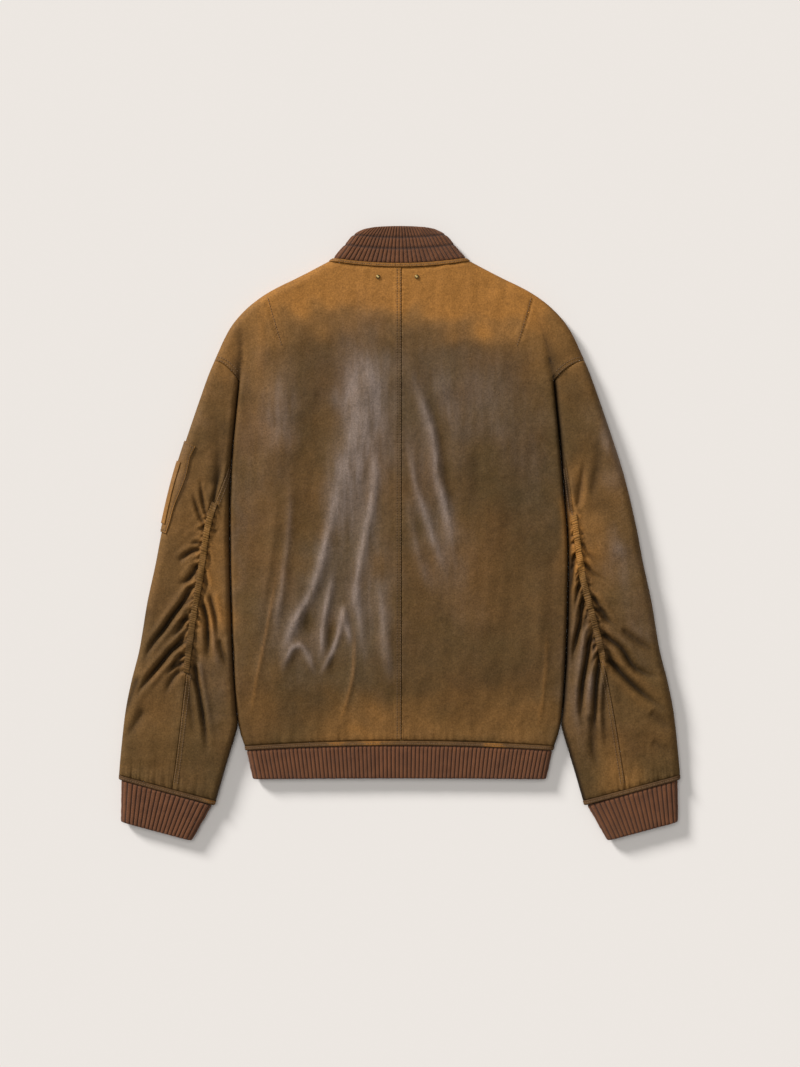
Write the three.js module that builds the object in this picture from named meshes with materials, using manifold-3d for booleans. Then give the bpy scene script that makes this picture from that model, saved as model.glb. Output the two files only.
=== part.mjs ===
// A worn leather jacket with rib-knit collar, cuffs and hem, laid flat on its front with its back up.
// Millimetres. +Y runs from the hem to the collar, +Z is up from the surface it lies on, and the
// wearer's left is at -X. Each panel is a thin shell: an outer grid of points, and an inner one
// that lies one wall thickness inside it.
import * as THREE from "three";
import { mergeVertices } from "three/addons/utils/BufferGeometryUtils.js";
import Module from "manifold-3d";

// ---- driving dimensions ----
const leatherWall = 2.2;
const knitWall = 3.4;
const stripWall = 2.0;
const seamGap = 0.3; // between pieces that are sewn together
const curvedSeamGap = 1; // the same where two differently faceted edges meet
const centreSeamX = 3; // the centre-back seam lies a little to the wearer's right
const midHeight = 9; // where the back and the front meet round the garment's edge
const edgeRadius = 12; // how far in the edge's rounding reaches
const creaseRadius = 14; // half width of the valley between body and sleeve
const frontSlitHalf = 4.5; // half the opening that the zip closes
const zipRecess = 4; // the front edges rise this far to clear the zip
const recessReach = 16;

// Plan outlines of one half, as [distance from x = 0, y], shared by both halves.
const shoulderOutline = [[96, 369], [134, 349], [175, 328.5], [205, 307], [228, 281], [242, 254], [251, 234]];
const sleeveOutline = [
  [251, 234], [262, 207], [290.5, 124], [307, 70], [321, 10], [331, -42], [342, -93],
  [349, -136], [354, -163], [364, -202], [372, -243], [378, -297], [380.5, -327],
];
const sideFold = [
  [210, -288], [217, -266], [222, -225], [227, -130], [229, -20], [226, 60], [221, 127], [213, 207],
];
const creaseTop = [[213, 207], [204, 255], [189, 312]]; // the valley goes on up the shoulder and fades out
const sleeveInnerEnd = [[220, -262], [230, -297], [238, -324], [249, -362]];
const foldLean = 4; // both side folds lean this far towards the wearer's left, above the waist
const armholeBow = 6; // the armhole seam's rise between its two ends
const underarmY = 127; // the armhole seam runs down the side fold to here
const hemCentreY = -280.4;
const neckBackY = 360.4;
const neckFrontY = 338;

// Heights of the top face.
const hemHeight = 15;
const bodyHeight = 23;
const neckHeight = 17;
const sleeveHeight = 19;
const cuffHeight = 16;

// The largest creases: each is a line through points of the plan with a height and a half width.
const backCreases = [
  { path: [[-50, 250], [-50, 161], [-83, 67], [-98, -40], [-148, -144]], height: 5, width: 24 },
  { path: [[-36, 138], [-33, 67], [-55, -50], [-47, -180]], height: 3, width: 14 },
  { path: [[-150, 120], [-149, 40], [-160, -74], [-168, -170]], height: 3.5, width: 15 },
  { path: [[11, 231], [36, 165], [55, 65], [72, -50]], height: 4, width: 15 },
  { path: [[44, 226], [73, 156], [90, 60]], height: 2.5, width: 18 },
  { path: [[-100, 160], [-118, 40], [-128, -60]], height: -3.5, width: 22 },
];
const sleeveCreases = {
  left: [
    { path: [[-283, -108], [-311, -124], [-342, -150], [-362, -184]], height: -5, width: 9 },
    { path: [[-287, -90], [-318, -104], [-345, -126]], height: 4, width: 9 },
    { path: [[-289, -139], [-330, -170], [-370, -245]], height: -4, width: 9 },
    { path: [[-268, -73], [-264, -109], [-255, -140], [-233, -163]], height: -4, width: 8 },
    { path: [[-271, -139], [-266, -190], [-256, -240]], height: -4, width: 9 },
  ],
  right: [
    { path: [[257, -78], [282, -98], [307, -122], [337, -134]], height: -4, width: 9 },
    { path: [[267, -124], [292, -144], [327, -179], [362, -212]], height: -5, width: 9 },
    { path: [[262, -100], [295, -120], [335, -160]], height: 4, width: 9 },
    { path: [[252, -60], [246, -110], [242, -160]], height: -3.5, width: 8 },
    { path: [[266, -139], [261, -184], [259, -235]], height: -4, width: 9 },
  ],
};

// The elbow seams, as plan points from the underarm to the cuff.
const elbowSeam = {
  left: [
    [-221, 127], [-236, 76], [-262, 18], [-273, -63], [-284, -137], [-291, -213], [-299, -281], [-308, -346],
  ],
  right: [
    [221, 127], [232, 60], [242, 0], [251, -60], [262, -108], [274, -160], [289, -236], [307, -345],
  ],
};
const tapeWidth = 9;
const tapeWall = 1.4;
const tapeLift = 1.9; // above the coarse facets of the panels it lies on
const tapeSpan = { left: [0.4, 0.66], right: [0.38, 0.62] }; // along the sleeve, from armhole to cuff

// Rib-knit pieces and the strips that bind them.
const hemStrip = { top: -281.6, bottom: -286.9, halfTop: 210, halfBottom: 208.5, drops: [7.3, 7] };
const hemRib = { top: -287.3, bottom: -332, halfTop: 207.5, halfBottom: 199, drops: [6.9, 1.2] };
const cuffStrip = [[[380.5, -327.4], [248.7, -362.4]], [[380, -333], [251, -368.2]]];
const cuffRib = [[[377.5, -333.9], [254.5, -368.8]], [[378, -391], [282, -416.8]]];
const collarSides = [[90, 374], [81, 384.5], [72, 395], [62, 406], [46, 414.5]]; // base to top edge
const collarCentreBack = [366.6, 417];
const collarCentreFront = [344.6, 398];

// Zip, centred on the front opening.
const zipBottom = -330;
const zipTapeZ = 6.6;
const zipTapeWall = 1;
const zipTapeHalf = 13;
const chain = { half: 2.8, wall: 2.4 };
const slider = { y: 326, half: 4, length: 11, plate: 1.2, lugHalf: 1.8, barRadius: 0.5 };
const pull = {
  pivotY: 324, pivotZ: 2, eyeOuter: 1.6, eyeInner: 0.9, eyeHalf: 1.3, reach: 27, half: 3, wall: 1.4,
};
const studPlaces = { left: [-29, 347.5], right: [23.5, 347.5] };

// ---- curves and creases ----
const lerp = (a, b, t) => a + (b - a) * t;
const clamp01 = (t) => Math.min(1, Math.max(0, t));
const smooth = (t) => clamp01(t) ** 2 * (3 - 2 * clamp01(t));

// Evenly spaced points on a smooth curve through the given ones.
function pointsAlong(points, count) {
  const curve = new THREE.SplineCurve(points.map(([x, y]) => new THREE.Vector2(x, y)));
  return curve.getSpacedPoints(count);
}

// The distance from a plan point to a line of points, and how far along the line (0 to 1) it is.
function nearest(line, x, y) {
  let best = { distance: Infinity, along: 0 };
  for (let k = 0; k + 1 < line.length; k++) {
    const a = line[k];
    const ex = line[k + 1].x - a.x;
    const ey = line[k + 1].y - a.y;
    const t = clamp01(((x - a.x) * ex + (y - a.y) * ey) / (ex * ex + ey * ey));
    const distance = Math.hypot(a.x + t * ex - x, a.y + t * ey - y);
    if (distance < best.distance) best = { distance, along: (k + t) / (line.length - 1) };
  }
  return best;
}

const creaseLines = (list) => list.map((c) => ({ ...c, line: pointsAlong(c.path, 12) }));
const creases = {
  back: creaseLines(backCreases),
  left: creaseLines(sleeveCreases.left),
  right: creaseLines(sleeveCreases.right),
};

// A crease is a bell-shaped ridge or trough that fades out at both ends of its line.
function creaseHeight(list, x, y) {
  let sum = 0;
  for (const { line, height, width } of list) {
    const { distance, along } = nearest(line, x, y);
    const fade = smooth(4 * along) * smooth(4 * (1 - along));
    sum += height * fade * Math.exp(-((distance / width) ** 2));
  }
  return sum;
}

// Quarter ellipse: 0 at the edge, 1 once the distance reaches the radius.
const rounded = (distance, radius) => Math.sqrt(1 - (1 - clamp01(distance / radius)) ** 2);

// How deep the valley is: full beside the sleeve, gone where it fades out on the shoulder.
const creaseDepth = (y) => 1 - 0.85 * smooth((y - 185) / 110) - 0.15 * smooth((y - 290) / 25);

// ---- one half of the garment: side is -1 for the wearer's left and 1 for the right ----
const foldSteps = 60;
const shoulderSteps = 40;
const sleeveSteps = 60;
const besideArmhole = 12; // the sleeve's first outline points, which the shoulder's rounding goes on past

function makeHalf(side) {
  const lean = (y) => -side * foldLean * smooth((y + 60) / 160);
  const leaning = (points) => points.map(([x, y]) => [x + lean(y), y]);
  const fold = pointsAlong(leaning(sideFold), foldSteps);
  const valley = [...fold, ...pointsAlong(leaning(creaseTop), 14).slice(1)];
  const shoulder = pointsAlong(shoulderOutline, shoulderSteps);
  const outer = pointsAlong(sleeveOutline, sleeveSteps);
  const outline = [...shoulder, ...outer.slice(1, besideArmhole)];
  const armholeIn = fold[fold.length - 1];
  const armholeOut = outer[0];
  return { side, centre: side * centreSeamX, fold, valley, outline, armholeIn, armholeOut };
}
const halves = { left: makeHalf(-1), right: makeHalf(1) };

// The armhole seam's point at t, from its inner end (0) to the garment's outline (1).
function armholePoint(half, t) {
  const a = half.armholeIn;
  const b = half.armholeOut;
  return new THREE.Vector2(lerp(a.x, b.x, t), lerp(a.y, b.y, t) + armholeBow * 4 * t * (1 - t));
}

// Height of the body's top face: lower towards hem, neck and sides, with the creases on it.
function bodyTop(half, x, y) {
  const fromHem = smooth((y - hemCentreY) / 90);
  const toNeck = smooth((y - 200) / 170);
  const loft = lerp(lerp(hemHeight, bodyHeight, fromHem), neckHeight, toNeck);
  const across = 3 * (Math.abs(x) / 220) ** 3 * fromHem * (1 - toNeck);
  const fade = smooth((y - hemCentreY) / 40);
  return loft - across + fade * creaseHeight(creases.back, half.side * x, y);
}

// What is left of the height near the outline (0 there) and in the valley.
function edgeFactors(half, x, y) {
  const toOutline = rounded(nearest(half.outline, x, y).distance, edgeRadius);
  const toValley = rounded(nearest(half.valley, x, y).distance, creaseRadius);
  return { toOutline, toValley };
}

function backHeight(half, x, y) {
  const { toOutline, toValley } = edgeFactors(half, x, y);
  const open = 1 - creaseDepth(y) * (1 - toValley);
  return midHeight + (bodyTop(half, x, y) - midHeight) * toOutline * open;
}

// The front lies flat and turns up at its edges, except along the armhole, where the sleeve goes on.
function frontHeight(half, x, y) {
  const { toOutline, toValley } = edgeFactors(half, x, y);
  const closed = 1 - smooth((y - underarmY + 24) / 24);
  const rim = 1 - toOutline * (1 - closed * (1 - toValley));
  const slit = Math.abs(x - half.centre) - frontSlitHalf;
  const recess = zipRecess * (1 - smooth(slit / recessReach));
  return Math.max((midHeight - seamGap) * rim, recess);
}

// ---- shells ----
// Outward normals of a grid of points, from the differences between neighbours. Where a column ends
// on a turned edge, the surface is upright there, so its own direction is straight down or up.
function gridNormals(grid, sign, upright, wrap) {
  const rows = grid.length;
  const cols = grid[0].length;
  return grid.map((row, i) =>
    row.map((point, j) => {
      const before = wrap ? row[(j + cols - 1) % cols] : row[Math.max(j - 1, 0)];
      const after = wrap ? row[(j + 1) % cols] : row[Math.min(j + 1, cols - 1)];
      let across = after.clone().sub(before);
      const turned = upright ? upright(i, j) : 0;
      if (turned) across = new THREE.Vector3(0, 0, turned);
      const along = grid[Math.min(i + 1, rows - 1)][j].clone().sub(grid[Math.max(i - 1, 0)][j]);
      return across.cross(along).normalize().multiplyScalar(sign);
    }),
  );
}

// A closed wall: the outer grid, the same grid moved inwards, and rims between them.
function shell(grid, wall, sign, { upright = null, wrap = false } = {}) {
  const normals = gridNormals(grid, sign, upright, wrap);
  const rows = grid.length;
  const cols = grid[0].length;
  const size = rows * cols;
  const positions = [];
  for (const depth of [0, wall]) {
    grid.forEach((row, i) =>
      row.forEach((point, j) => {
        positions.push(...point.clone().addScaledVector(normals[i][j], -depth).toArray());
      }),
    );
  }
  const index = [];
  const quad = (a, b, c, d) => (sign > 0 ? index.push(a, b, c, a, c, d) : index.push(a, c, b, a, d, c));
  const at = (i, j) => i * cols + (wrap ? j % cols : j);
  const lastCol = wrap ? cols : cols - 1;
  for (let i = 0; i + 1 < rows; i++) {
    for (let j = 0; j < lastCol; j++) {
      quad(at(i, j), at(i, j + 1), at(i + 1, j + 1), at(i + 1, j));
      quad(size + at(i, j), size + at(i + 1, j), size + at(i + 1, j + 1), size + at(i, j + 1));
    }
  }
  for (let j = 0; j < lastCol; j++) {
    quad(at(0, j + 1), at(0, j), size + at(0, j), size + at(0, j + 1));
    quad(at(rows - 1, j), at(rows - 1, j + 1), size + at(rows - 1, j + 1), size + at(rows - 1, j));
  }
  if (!wrap) {
    for (let i = 0; i + 1 < rows; i++) {
      quad(at(i, 0), at(i + 1, 0), size + at(i + 1, 0), size + at(i, 0));
      quad(at(i + 1, cols - 1), at(i, cols - 1), size + at(i, cols - 1), size + at(i + 1, cols - 1));
    }
  }
  const geometry = new THREE.BufferGeometry();
  geometry.setAttribute("position", new THREE.Float32BufferAttribute(positions, 3));
  geometry.setIndex(index);
  geometry.computeVertexNormals();
  return geometry;
}

// Fractions of a run that ends on a rounded edge: even steps on the flat, then even angles round.
function edgeSteps(length, reach, flatSteps, angles) {
  const flat = 1 - reach / length;
  const steps = [];
  for (let k = 0; k < flatSteps; k++) steps.push((flat * k) / flatSteps);
  for (let k = 0; k <= angles; k++) {
    const angle = (k / angles) * (Math.PI / 2);
    steps.push(1 - (reach / length) * (1 - Math.sin(angle)));
  }
  return steps;
}

// ---- body panels ----
const foldRows = 13;
const armholeRows = 3;
const shoulderRows = 7;
const edgeAngles = 3;

// The panel's edge from the hem corner up the side fold, over the armhole seam, to the neck.
function panelBoundary(half) {
  const points = [];
  for (let k = 0; k <= foldRows; k++) points.push(half.fold[Math.round((k * foldSteps) / foldRows)]);
  for (let k = 1; k <= armholeRows; k++) points.push(armholePoint(half, k / armholeRows));
  const shoulder = half.outline.slice(0, shoulderSteps + 1).reverse();
  for (let k = 1; k <= shoulderRows; k++) {
    points.push(shoulder[Math.round((k * shoulderSteps) / shoulderRows)]);
  }
  return points;
}

// Rows run from the centre line out to the boundary and bend as they near it.
function panelGrid(half, startX, neckY, flatSteps, height) {
  const boundary = panelBoundary(half);
  const last = boundary.length - 1;
  const rise = boundary[last].y - boundary[0].y;
  return boundary.map((end, i) => {
    const startY = lerp(hemCentreY, neckY, (end.y - boundary[0].y) / rise);
    const before = boundary[Math.max(i - 1, 0)];
    const after = boundary[Math.min(i + 1, last)];
    const tangent = after.clone().sub(before).normalize();
    const sine = Math.max(0.45, Math.abs(tangent.y));
    const length = end.x - startX;
    const steps = edgeSteps(length, edgeRadius / sine, flatSteps, edgeAngles);
    return steps.map((w) => {
      const x = lerp(startX, end.x, w);
      const y = lerp(startY, end.y, w * w);
      return new THREE.Vector3(half.side * x, y, height(x, y));
    });
  });
}

const onArmhole = (i) => i >= foldRows && i < foldRows + armholeRows;

function backPanel(half) {
  const startX = half.centre + seamGap / 2;
  const grid = panelGrid(half, startX, neckBackY, 8, (x, y) => backHeight(half, x, y));
  const lastCol = grid[0].length - 1;
  const upright = (i, j) => (j === lastCol && !onArmhole(i) ? -1 : 0);
  return shell(grid, leatherWall, half.side, { upright });
}

function frontPanel(half) {
  const startX = half.centre + frontSlitHalf;
  const grid = panelGrid(half, startX, neckFrontY, 5, (x, y) => frontHeight(half, x, y));
  const lastCol = grid[0].length - 1;
  const turnedUp = (i) => i > foldRows + armholeRows - 1 || grid[i][lastCol].y < underarmY - 24;
  const upright = (i, j) => (j === lastCol && turnedUp(i) ? 1 : 0);
  return shell(grid, leatherWall, -half.side, { upright });
}

// ---- sleeves ----
// A sleeve is a flattened tube between its outer edge and its inner edge. Stations run from the
// armhole seam (0) to the cuff (1).
const stations = 17;
const quarterTurn = 15; // length of the rounded edge from the flat to the outermost line

function makeSleeve(half, name) {
  const foldDown = [...half.fold].reverse().filter((p) => p.y > -255);
  const besideFold = foldDown.filter((p, k) => k % 6 === 0).map((p) => [p.x + curvedSeamGap, p.y]);
  const inner = pointsAlong([...besideFold, ...sleeveInnerEnd], 120);
  const outer = pointsAlong(sleeveOutline, 120);
  const seam = pointsAlong(elbowSeam[name], 80).map((p) => new THREE.Vector2(half.side * p.x, p.y));
  const at = (list, v) => {
    const k = Math.min(list.length - 2, Math.floor(v * (list.length - 1)));
    return list[k].clone().lerp(list[k + 1], v * (list.length - 1) - k);
  };
  const station = (v) => {
    const o = at(outer, v);
    const n = at(inner, v);
    const gap = 1.5 * curvedSeamGap * (1 - smooth(v * 20));
    o.y -= gap;
    n.y -= gap;
    return { v, o, n, width: o.distanceTo(n) };
  };
  let underarm = 0;
  while (station(underarm).n.y > underarmY) underarm += 1 / stations;
  return { ...half, name, seam, station, underarm };
}

// Plan point at a distance from the outer edge along a station.
function sleevePlan(s, fromOuter) {
  const t = fromOuter / s.width;
  const p = s.o.clone().lerp(s.n, t);
  p.y += armholeBow * 4 * t * (1 - t) * (1 - smooth(s.v * 8));
  return p;
}

// The pocket on the wearer's left sleeve lies against the surface, so the sleeve rises to clear it.
const pocket = { from: 0.2, to: 0.42, under: 44, wall: 1.6, lift: 2.9 };
const pocketEdge = [[283, 103], [289, 76], [303, 40], [310, 15], [316.5, -4]];

function pocketLift(sleeve, v, fromOuter) {
  if (sleeve.name !== "left") return 0;
  const alongSleeve = smooth((v - pocket.from + 0.05) / 0.04) * smooth((pocket.to + 0.05 - v) / 0.04);
  return pocket.lift * alongSleeve * (1 - smooth((fromOuter - pocket.under - 4) / 12));
}

function sleeveTopHeight(sleeve, s, fromOuter) {
  const p = sleevePlan(s, fromOuter);
  const fromInner = s.width - fromOuter;
  const loft = lerp(sleeveHeight, cuffHeight, smooth((s.v - 0.8) / 0.2)) + 3 * Math.sin(Math.PI * s.v);
  const height = loft + creaseHeight(creases[sleeve.name], sleeve.side * p.x, p.y);
  const open = 1 - creaseDepth(p.y) * (1 - rounded(fromInner, creaseRadius));
  return midHeight + (height - midHeight) * rounded(fromOuter, edgeRadius) * open;
}

function sleeveBottomHeight(sleeve, s, fromOuter) {
  const fromInner = s.width - fromOuter;
  const closed = s.v >= sleeve.underarm - 1e-6 ? 1 : 0;
  const inner = 1 - closed * (1 - rounded(fromInner, creaseRadius));
  const flat = rounded(fromOuter, edgeRadius) * inner;
  return midHeight * (1 - flat) + pocketLift(sleeve, s.v, fromOuter) * flat;
}

function sleevePoint(sleeve, s, fromOuter, onTop) {
  const p = sleevePlan(s, fromOuter);
  const z = onTop ? sleeveTopHeight(sleeve, s, fromOuter) : sleeveBottomHeight(sleeve, s, fromOuter);
  return new THREE.Vector3(sleeve.side * p.x, p.y, z);
}

// Distance in from an edge for a length m along the surface, measured from the outermost line.
function insetOf(m, radius) {
  if (m >= quarterTurn) return radius + (m - quarterTurn);
  return radius * (1 - Math.cos((m / quarterTurn) * (Math.PI / 2)));
}
function lengthOf(inset, radius) {
  if (inset >= radius) return quarterTurn + (inset - radius);
  return (Math.acos(1 - inset / radius) / (Math.PI / 2)) * quarterTurn;
}

// How far the elbow seam is from the inner edge at a station, along the surface.
function seamLength(sleeve, s) {
  if (s.v <= sleeve.underarm) return 0;
  const direction = s.o.clone().sub(s.n).normalize();
  let inset = 0;
  let least = Infinity;
  for (const p of sleeve.seam) {
    const off = p.clone().sub(s.n);
    const across = Math.abs(off.cross(direction));
    if (across < least) {
      least = across;
      inset = off.dot(direction);
    }
  }
  const start = Math.min(1, (s.v - sleeve.underarm) * stations);
  return lengthOf(Math.max(inset * start, 0.5), creaseRadius);
}

// The hidden seam on the underside moves from the underarm to the middle of the sleeve.
const hiddenSeam = (sleeve, s) => lerp(5, s.width * 0.5, smooth((s.v - sleeve.underarm) * 3));

const between = (a, b, n) => Array.from({ length: n }, (_, k) => lerp(a, b, k / n));

// The outer sleeve runs from the elbow seam over the outer edge to the hidden seam.
function sleeveTopPanel(sleeve) {
  const grid = [];
  for (let i = 0; i <= stations; i++) {
    const s = sleeve.station(i / stations);
    const joined = s.v >= sleeve.underarm;
    const start = seamLength(sleeve, s) + (joined ? curvedSeamGap / 2 : 0);
    const top = between(start, start + quarterTurn, 3).map((m) => insetOf(m, creaseRadius));
    const from = s.width - insetOf(start + quarterTurn, creaseRadius);
    const onEdge = (m, onTop) => sleevePoint(sleeve, s, insetOf(m, edgeRadius), onTop);
    const row = [
      ...top.map((inset) => sleevePoint(sleeve, s, s.width - inset, true)),
      ...between(from, edgeRadius, 4).map((d) => sleevePoint(sleeve, s, d, true)),
      ...between(quarterTurn, 0, edgeAngles).map((m) => onEdge(m, true)),
      ...between(0, quarterTurn, edgeAngles).map((m) => onEdge(m, false)),
    ];
    const end = joined ? s.width - hiddenSeam(sleeve, s) - curvedSeamGap / 2 : s.width;
    for (let k = 0; k <= 2; k++) {
      row.push(sleevePoint(sleeve, s, lerp(edgeRadius, end, k / 2), false));
    }
    grid.push(row);
  }
  const upright = (i, j) => (j === 0 && i / stations < sleeve.underarm ? 1 : 0);
  return shell(grid, leatherWall, -sleeve.side, { upright });
}

// The under sleeve runs from the hidden seam round the inner edge to the elbow seam.
function sleeveUnderPanel(sleeve) {
  const grid = [];
  const first = Math.round(sleeve.underarm * stations);
  for (let i = first; i <= stations; i++) {
    const s = sleeve.station(i / stations);
    const under = lengthOf(hiddenSeam(sleeve, s), creaseRadius) - curvedSeamGap;
    const seam = Math.max(seamLength(sleeve, s) - curvedSeamGap / 2, 2);
    const turn = Math.min(quarterTurn, 0.6 * seam);
    const underTurn = Math.min(quarterTurn * 0.95, 0.75 * under);
    const row = [
      ...between(under, underTurn, 2).map((m) => [m, false]),
      ...between(underTurn, 0, edgeAngles).map((m) => [m, false]),
      ...between(0, turn, edgeAngles).map((m) => [m, true]),
      ...between(turn, seam, 2).map((m) => [m, true]),
      [seam, true],
    ];
    grid.push(row.map(([m, onTop]) => sleevePoint(sleeve, s, s.width - insetOf(m, creaseRadius), onTop)));
  }
  return shell(grid, leatherWall, -sleeve.side);
}

// The gathered tape over the elbow seam lies on both sleeve panels, a gap above them.
function elbowTape(sleeve) {
  const [from, to] = tapeSpan[sleeve.name];
  const grid = [];
  const steps = 16;
  for (let i = 0; i <= steps; i++) {
    const s = sleeve.station(lerp(from, to, i / steps));
    const seam = s.width - insetOf(seamLength(sleeve, s), creaseRadius);
    const row = [];
    for (let k = 0; k <= 2; k++) {
      const point = sleevePoint(sleeve, s, seam + tapeWidth * (0.5 - k / 2), true);
      point.z += tapeLift + tapeWall;
      row.push(point);
    }
    grid.push(row);
  }
  return shell(grid, tapeWall, -sleeve.side);
}

// A patch wrapped round the sleeve's outer edge, from its visible edge on top to its hidden one.
function sleeveWrap(sleeve, { from, to, steps, topReach, underReach, gap, wall }) {
  const grid = [];
  for (let i = 0; i <= steps; i++) {
    const s = sleeve.station(lerp(from, to, i / steps));
    const top = lengthOf(topReach(s), edgeRadius);
    const lengths = [
      ...between(top, 0, 5).map((m) => [m, true]),
      ...between(0, Math.min(quarterTurn, underReach), 4).map((m) => [m, false]),
      ...between(Math.min(quarterTurn, underReach - 1), underReach, 2).map((m) => [m, false]),
      [underReach, false],
    ];
    grid.push(lengths.map(([m, onTop]) => sleevePoint(sleeve, s, insetOf(m, edgeRadius), onTop)));
  }
  const normals = gridNormals(grid, -sleeve.side, null, false);
  const lifted = grid.map((row, i) =>
    row.map((p, j) => p.clone().addScaledVector(normals[i][j], gap + wall)),
  );
  lifted.forEach((row) => row.forEach((p) => (p.z = Math.max(p.z, 0))));
  return shell(lifted, wall, -sleeve.side);
}

// The second layer, with the pen slots, shows only as a step along the sleeve's outer edge.
const penSlots = {
  from: 0.25, to: 0.4, steps: 5, topReach: () => 5, underReach: 9,
  gap: pocket.wall + 1.8 * curvedSeamGap, wall: 1.2,
};

function pocketReach(s) {
  const edge = pointsAlong(pocketEdge, 40);
  const direction = s.n.clone().sub(s.o).normalize();
  let reach = 0;
  let least = Infinity;
  for (const p of edge) {
    const off = p.clone().sub(s.o);
    const across = Math.abs(off.cross(direction));
    if (across < least) {
      least = across;
      reach = off.dot(direction);
    }
  }
  return Math.max(reach, 4);
}

// ---- rings of knit and the strips that bind them ----
// Each station gives the ring's two ends on its side folds, how far the line between them bows on
// the back and on the front, and the height of its top. A slit leaves the front open at the zip.
function flatRing(stationList, wall, { flatSteps = 3, slit = 0 } = {}) {
  const grid = stationList.map(({ left, right, bowBack, bowFront, height }) => {
    const width = right[0] - left[0];
    const run = edgeSteps(width / 2, edgeRadius, flatSteps, edgeAngles);
    const point = (q, onTop) => {
      const bow = (onTop ? bowBack : bowFront) * 4 * q * (1 - q);
      const x = lerp(left[0], right[0], q);
      const edge = rounded(Math.min(q, 1 - q) * width, edgeRadius);
      const z = onTop ? midHeight + (height - midHeight) * edge : midHeight * (1 - edge);
      return new THREE.Vector3(x, lerp(left[1], right[1], q) + bow, z);
    };
    const start = slit ? (centreSeamX + slit - left[0]) / width : 0.5;
    const stop = slit ? (centreSeamX - slit - left[0]) / width : 0.5;
    const rightBottom = run.map((t) => point(lerp(start, 1, t), false));
    const rightTop = run.map((t) => point(lerp(0.5, 1, t), true)).reverse().slice(1);
    const leftTop = run.map((t) => point(lerp(0.5, 0, t), true)).slice(1);
    const leftBottom = run.map((t) => point(lerp(stop, 0, t), false)).reverse().slice(1);
    const row = [...rightBottom, ...rightTop, ...leftTop, ...leftBottom];
    if (!slit) row.pop();
    return row;
  });
  return shell(grid, wall, 1, { wrap: !slit });
}

function bandStations({ top, bottom, halfTop, halfBottom, drops }, height, steps) {
  const list = [];
  for (let k = 0; k <= steps; k++) {
    const t = k / steps;
    const bow = lerp(drops[0], drops[1], t);
    const y = lerp(top, bottom, t) - bow;
    const halfWidth = lerp(halfTop, halfBottom, t);
    list.push({ left: [-halfWidth, y], right: [halfWidth, y], bowBack: bow, bowFront: bow, height });
  }
  return list;
}

function cuffStations(half, [top, bottom], heights, steps) {
  const list = [];
  for (let k = 0; k <= steps; k++) {
    const t = k / steps;
    const outer = [half.side * lerp(top[0][0], bottom[0][0], t), lerp(top[0][1], bottom[0][1], t)];
    const inner = [half.side * lerp(top[1][0], bottom[1][0], t), lerp(top[1][1], bottom[1][1], t)];
    const ends = half.side > 0 ? { left: inner, right: outer } : { left: outer, right: inner };
    list.push({ ...ends, bowBack: 0, bowFront: 0, height: lerp(heights[0], heights[1], t) });
  }
  return list;
}

function collarStations() {
  const last = collarSides.length - 1;
  const list = collarSides.map(([halfWidth, y], k) => {
    const t = k / last;
    const back = lerp(collarCentreBack[0], collarCentreBack[1], t);
    const front = lerp(collarCentreFront[0], collarCentreFront[1], t);
    const height = lerp(neckHeight, 14, t);
    const ends = { left: [-halfWidth, y], right: [halfWidth, y] };
    return { ...ends, bowBack: back - y, bowFront: front - y, height };
  });
  return list.reverse();
}

function neckStripStations() {
  const ends = [[90.6, 373.4, 366.1, 344.1], [95.6, 369.5, neckBackY + 0.5, neckFrontY + 0.5]];
  return ends.map(([halfWidth, y, back, front]) => ({
    left: [-halfWidth, y],
    right: [halfWidth, y],
    bowBack: back - y,
    bowFront: front - y,
    height: neckHeight,
  }));
}

// ---- zip and studs ----
const wasm = await Module();
wasm.setup();

// One geometry from several that overlap.
function join(geometries) {
  const solids = geometries.map((geometry) => {
    const bare = geometry.index ? geometry.toNonIndexed() : geometry.clone();
    bare.deleteAttribute("normal");
    bare.deleteAttribute("uv");
    const merged = mergeVertices(bare, 1e-4);
    const vertProperties = merged.attributes.position.array;
    const triVerts = new Uint32Array(merged.index.array);
    return new wasm.Manifold(new wasm.Mesh({ numProp: 3, vertProperties, triVerts }));
  });
  const mesh = solids.reduce((sum, solid) => sum.add(solid)).getMesh();
  const joined = new THREE.BufferGeometry();
  joined.setAttribute("position", new THREE.BufferAttribute(mesh.vertProperties, 3));
  joined.setIndex(new THREE.BufferAttribute(mesh.triVerts, 1));
  joined.computeVertexNormals();
  return joined;
}

// A box given by its lowest and highest corners.
function block(low, high) {
  const size = high.map((v, k) => v - low[k]);
  const middle = high.map((v, k) => (v + low[k]) / 2);
  return new THREE.BoxGeometry(...size).translate(...middle);
}

function zipTape(side) {
  const near = centreSeamX + side * (chain.half + seamGap);
  const far = centreSeamX + side * zipTapeHalf;
  const low = [Math.min(near, far), zipBottom, zipTapeZ];
  const high = [Math.max(near, far), slider.y + 6, zipTapeZ + zipTapeWall];
  return block(low, high);
}

function zipChain() {
  const middle = zipTapeZ + zipTapeWall / 2;
  const low = [centreSeamX - chain.half, zipBottom, middle - chain.wall / 2];
  return block(low, [centreSeamX + chain.half, slider.y, middle + chain.wall / 2]);
}

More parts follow.
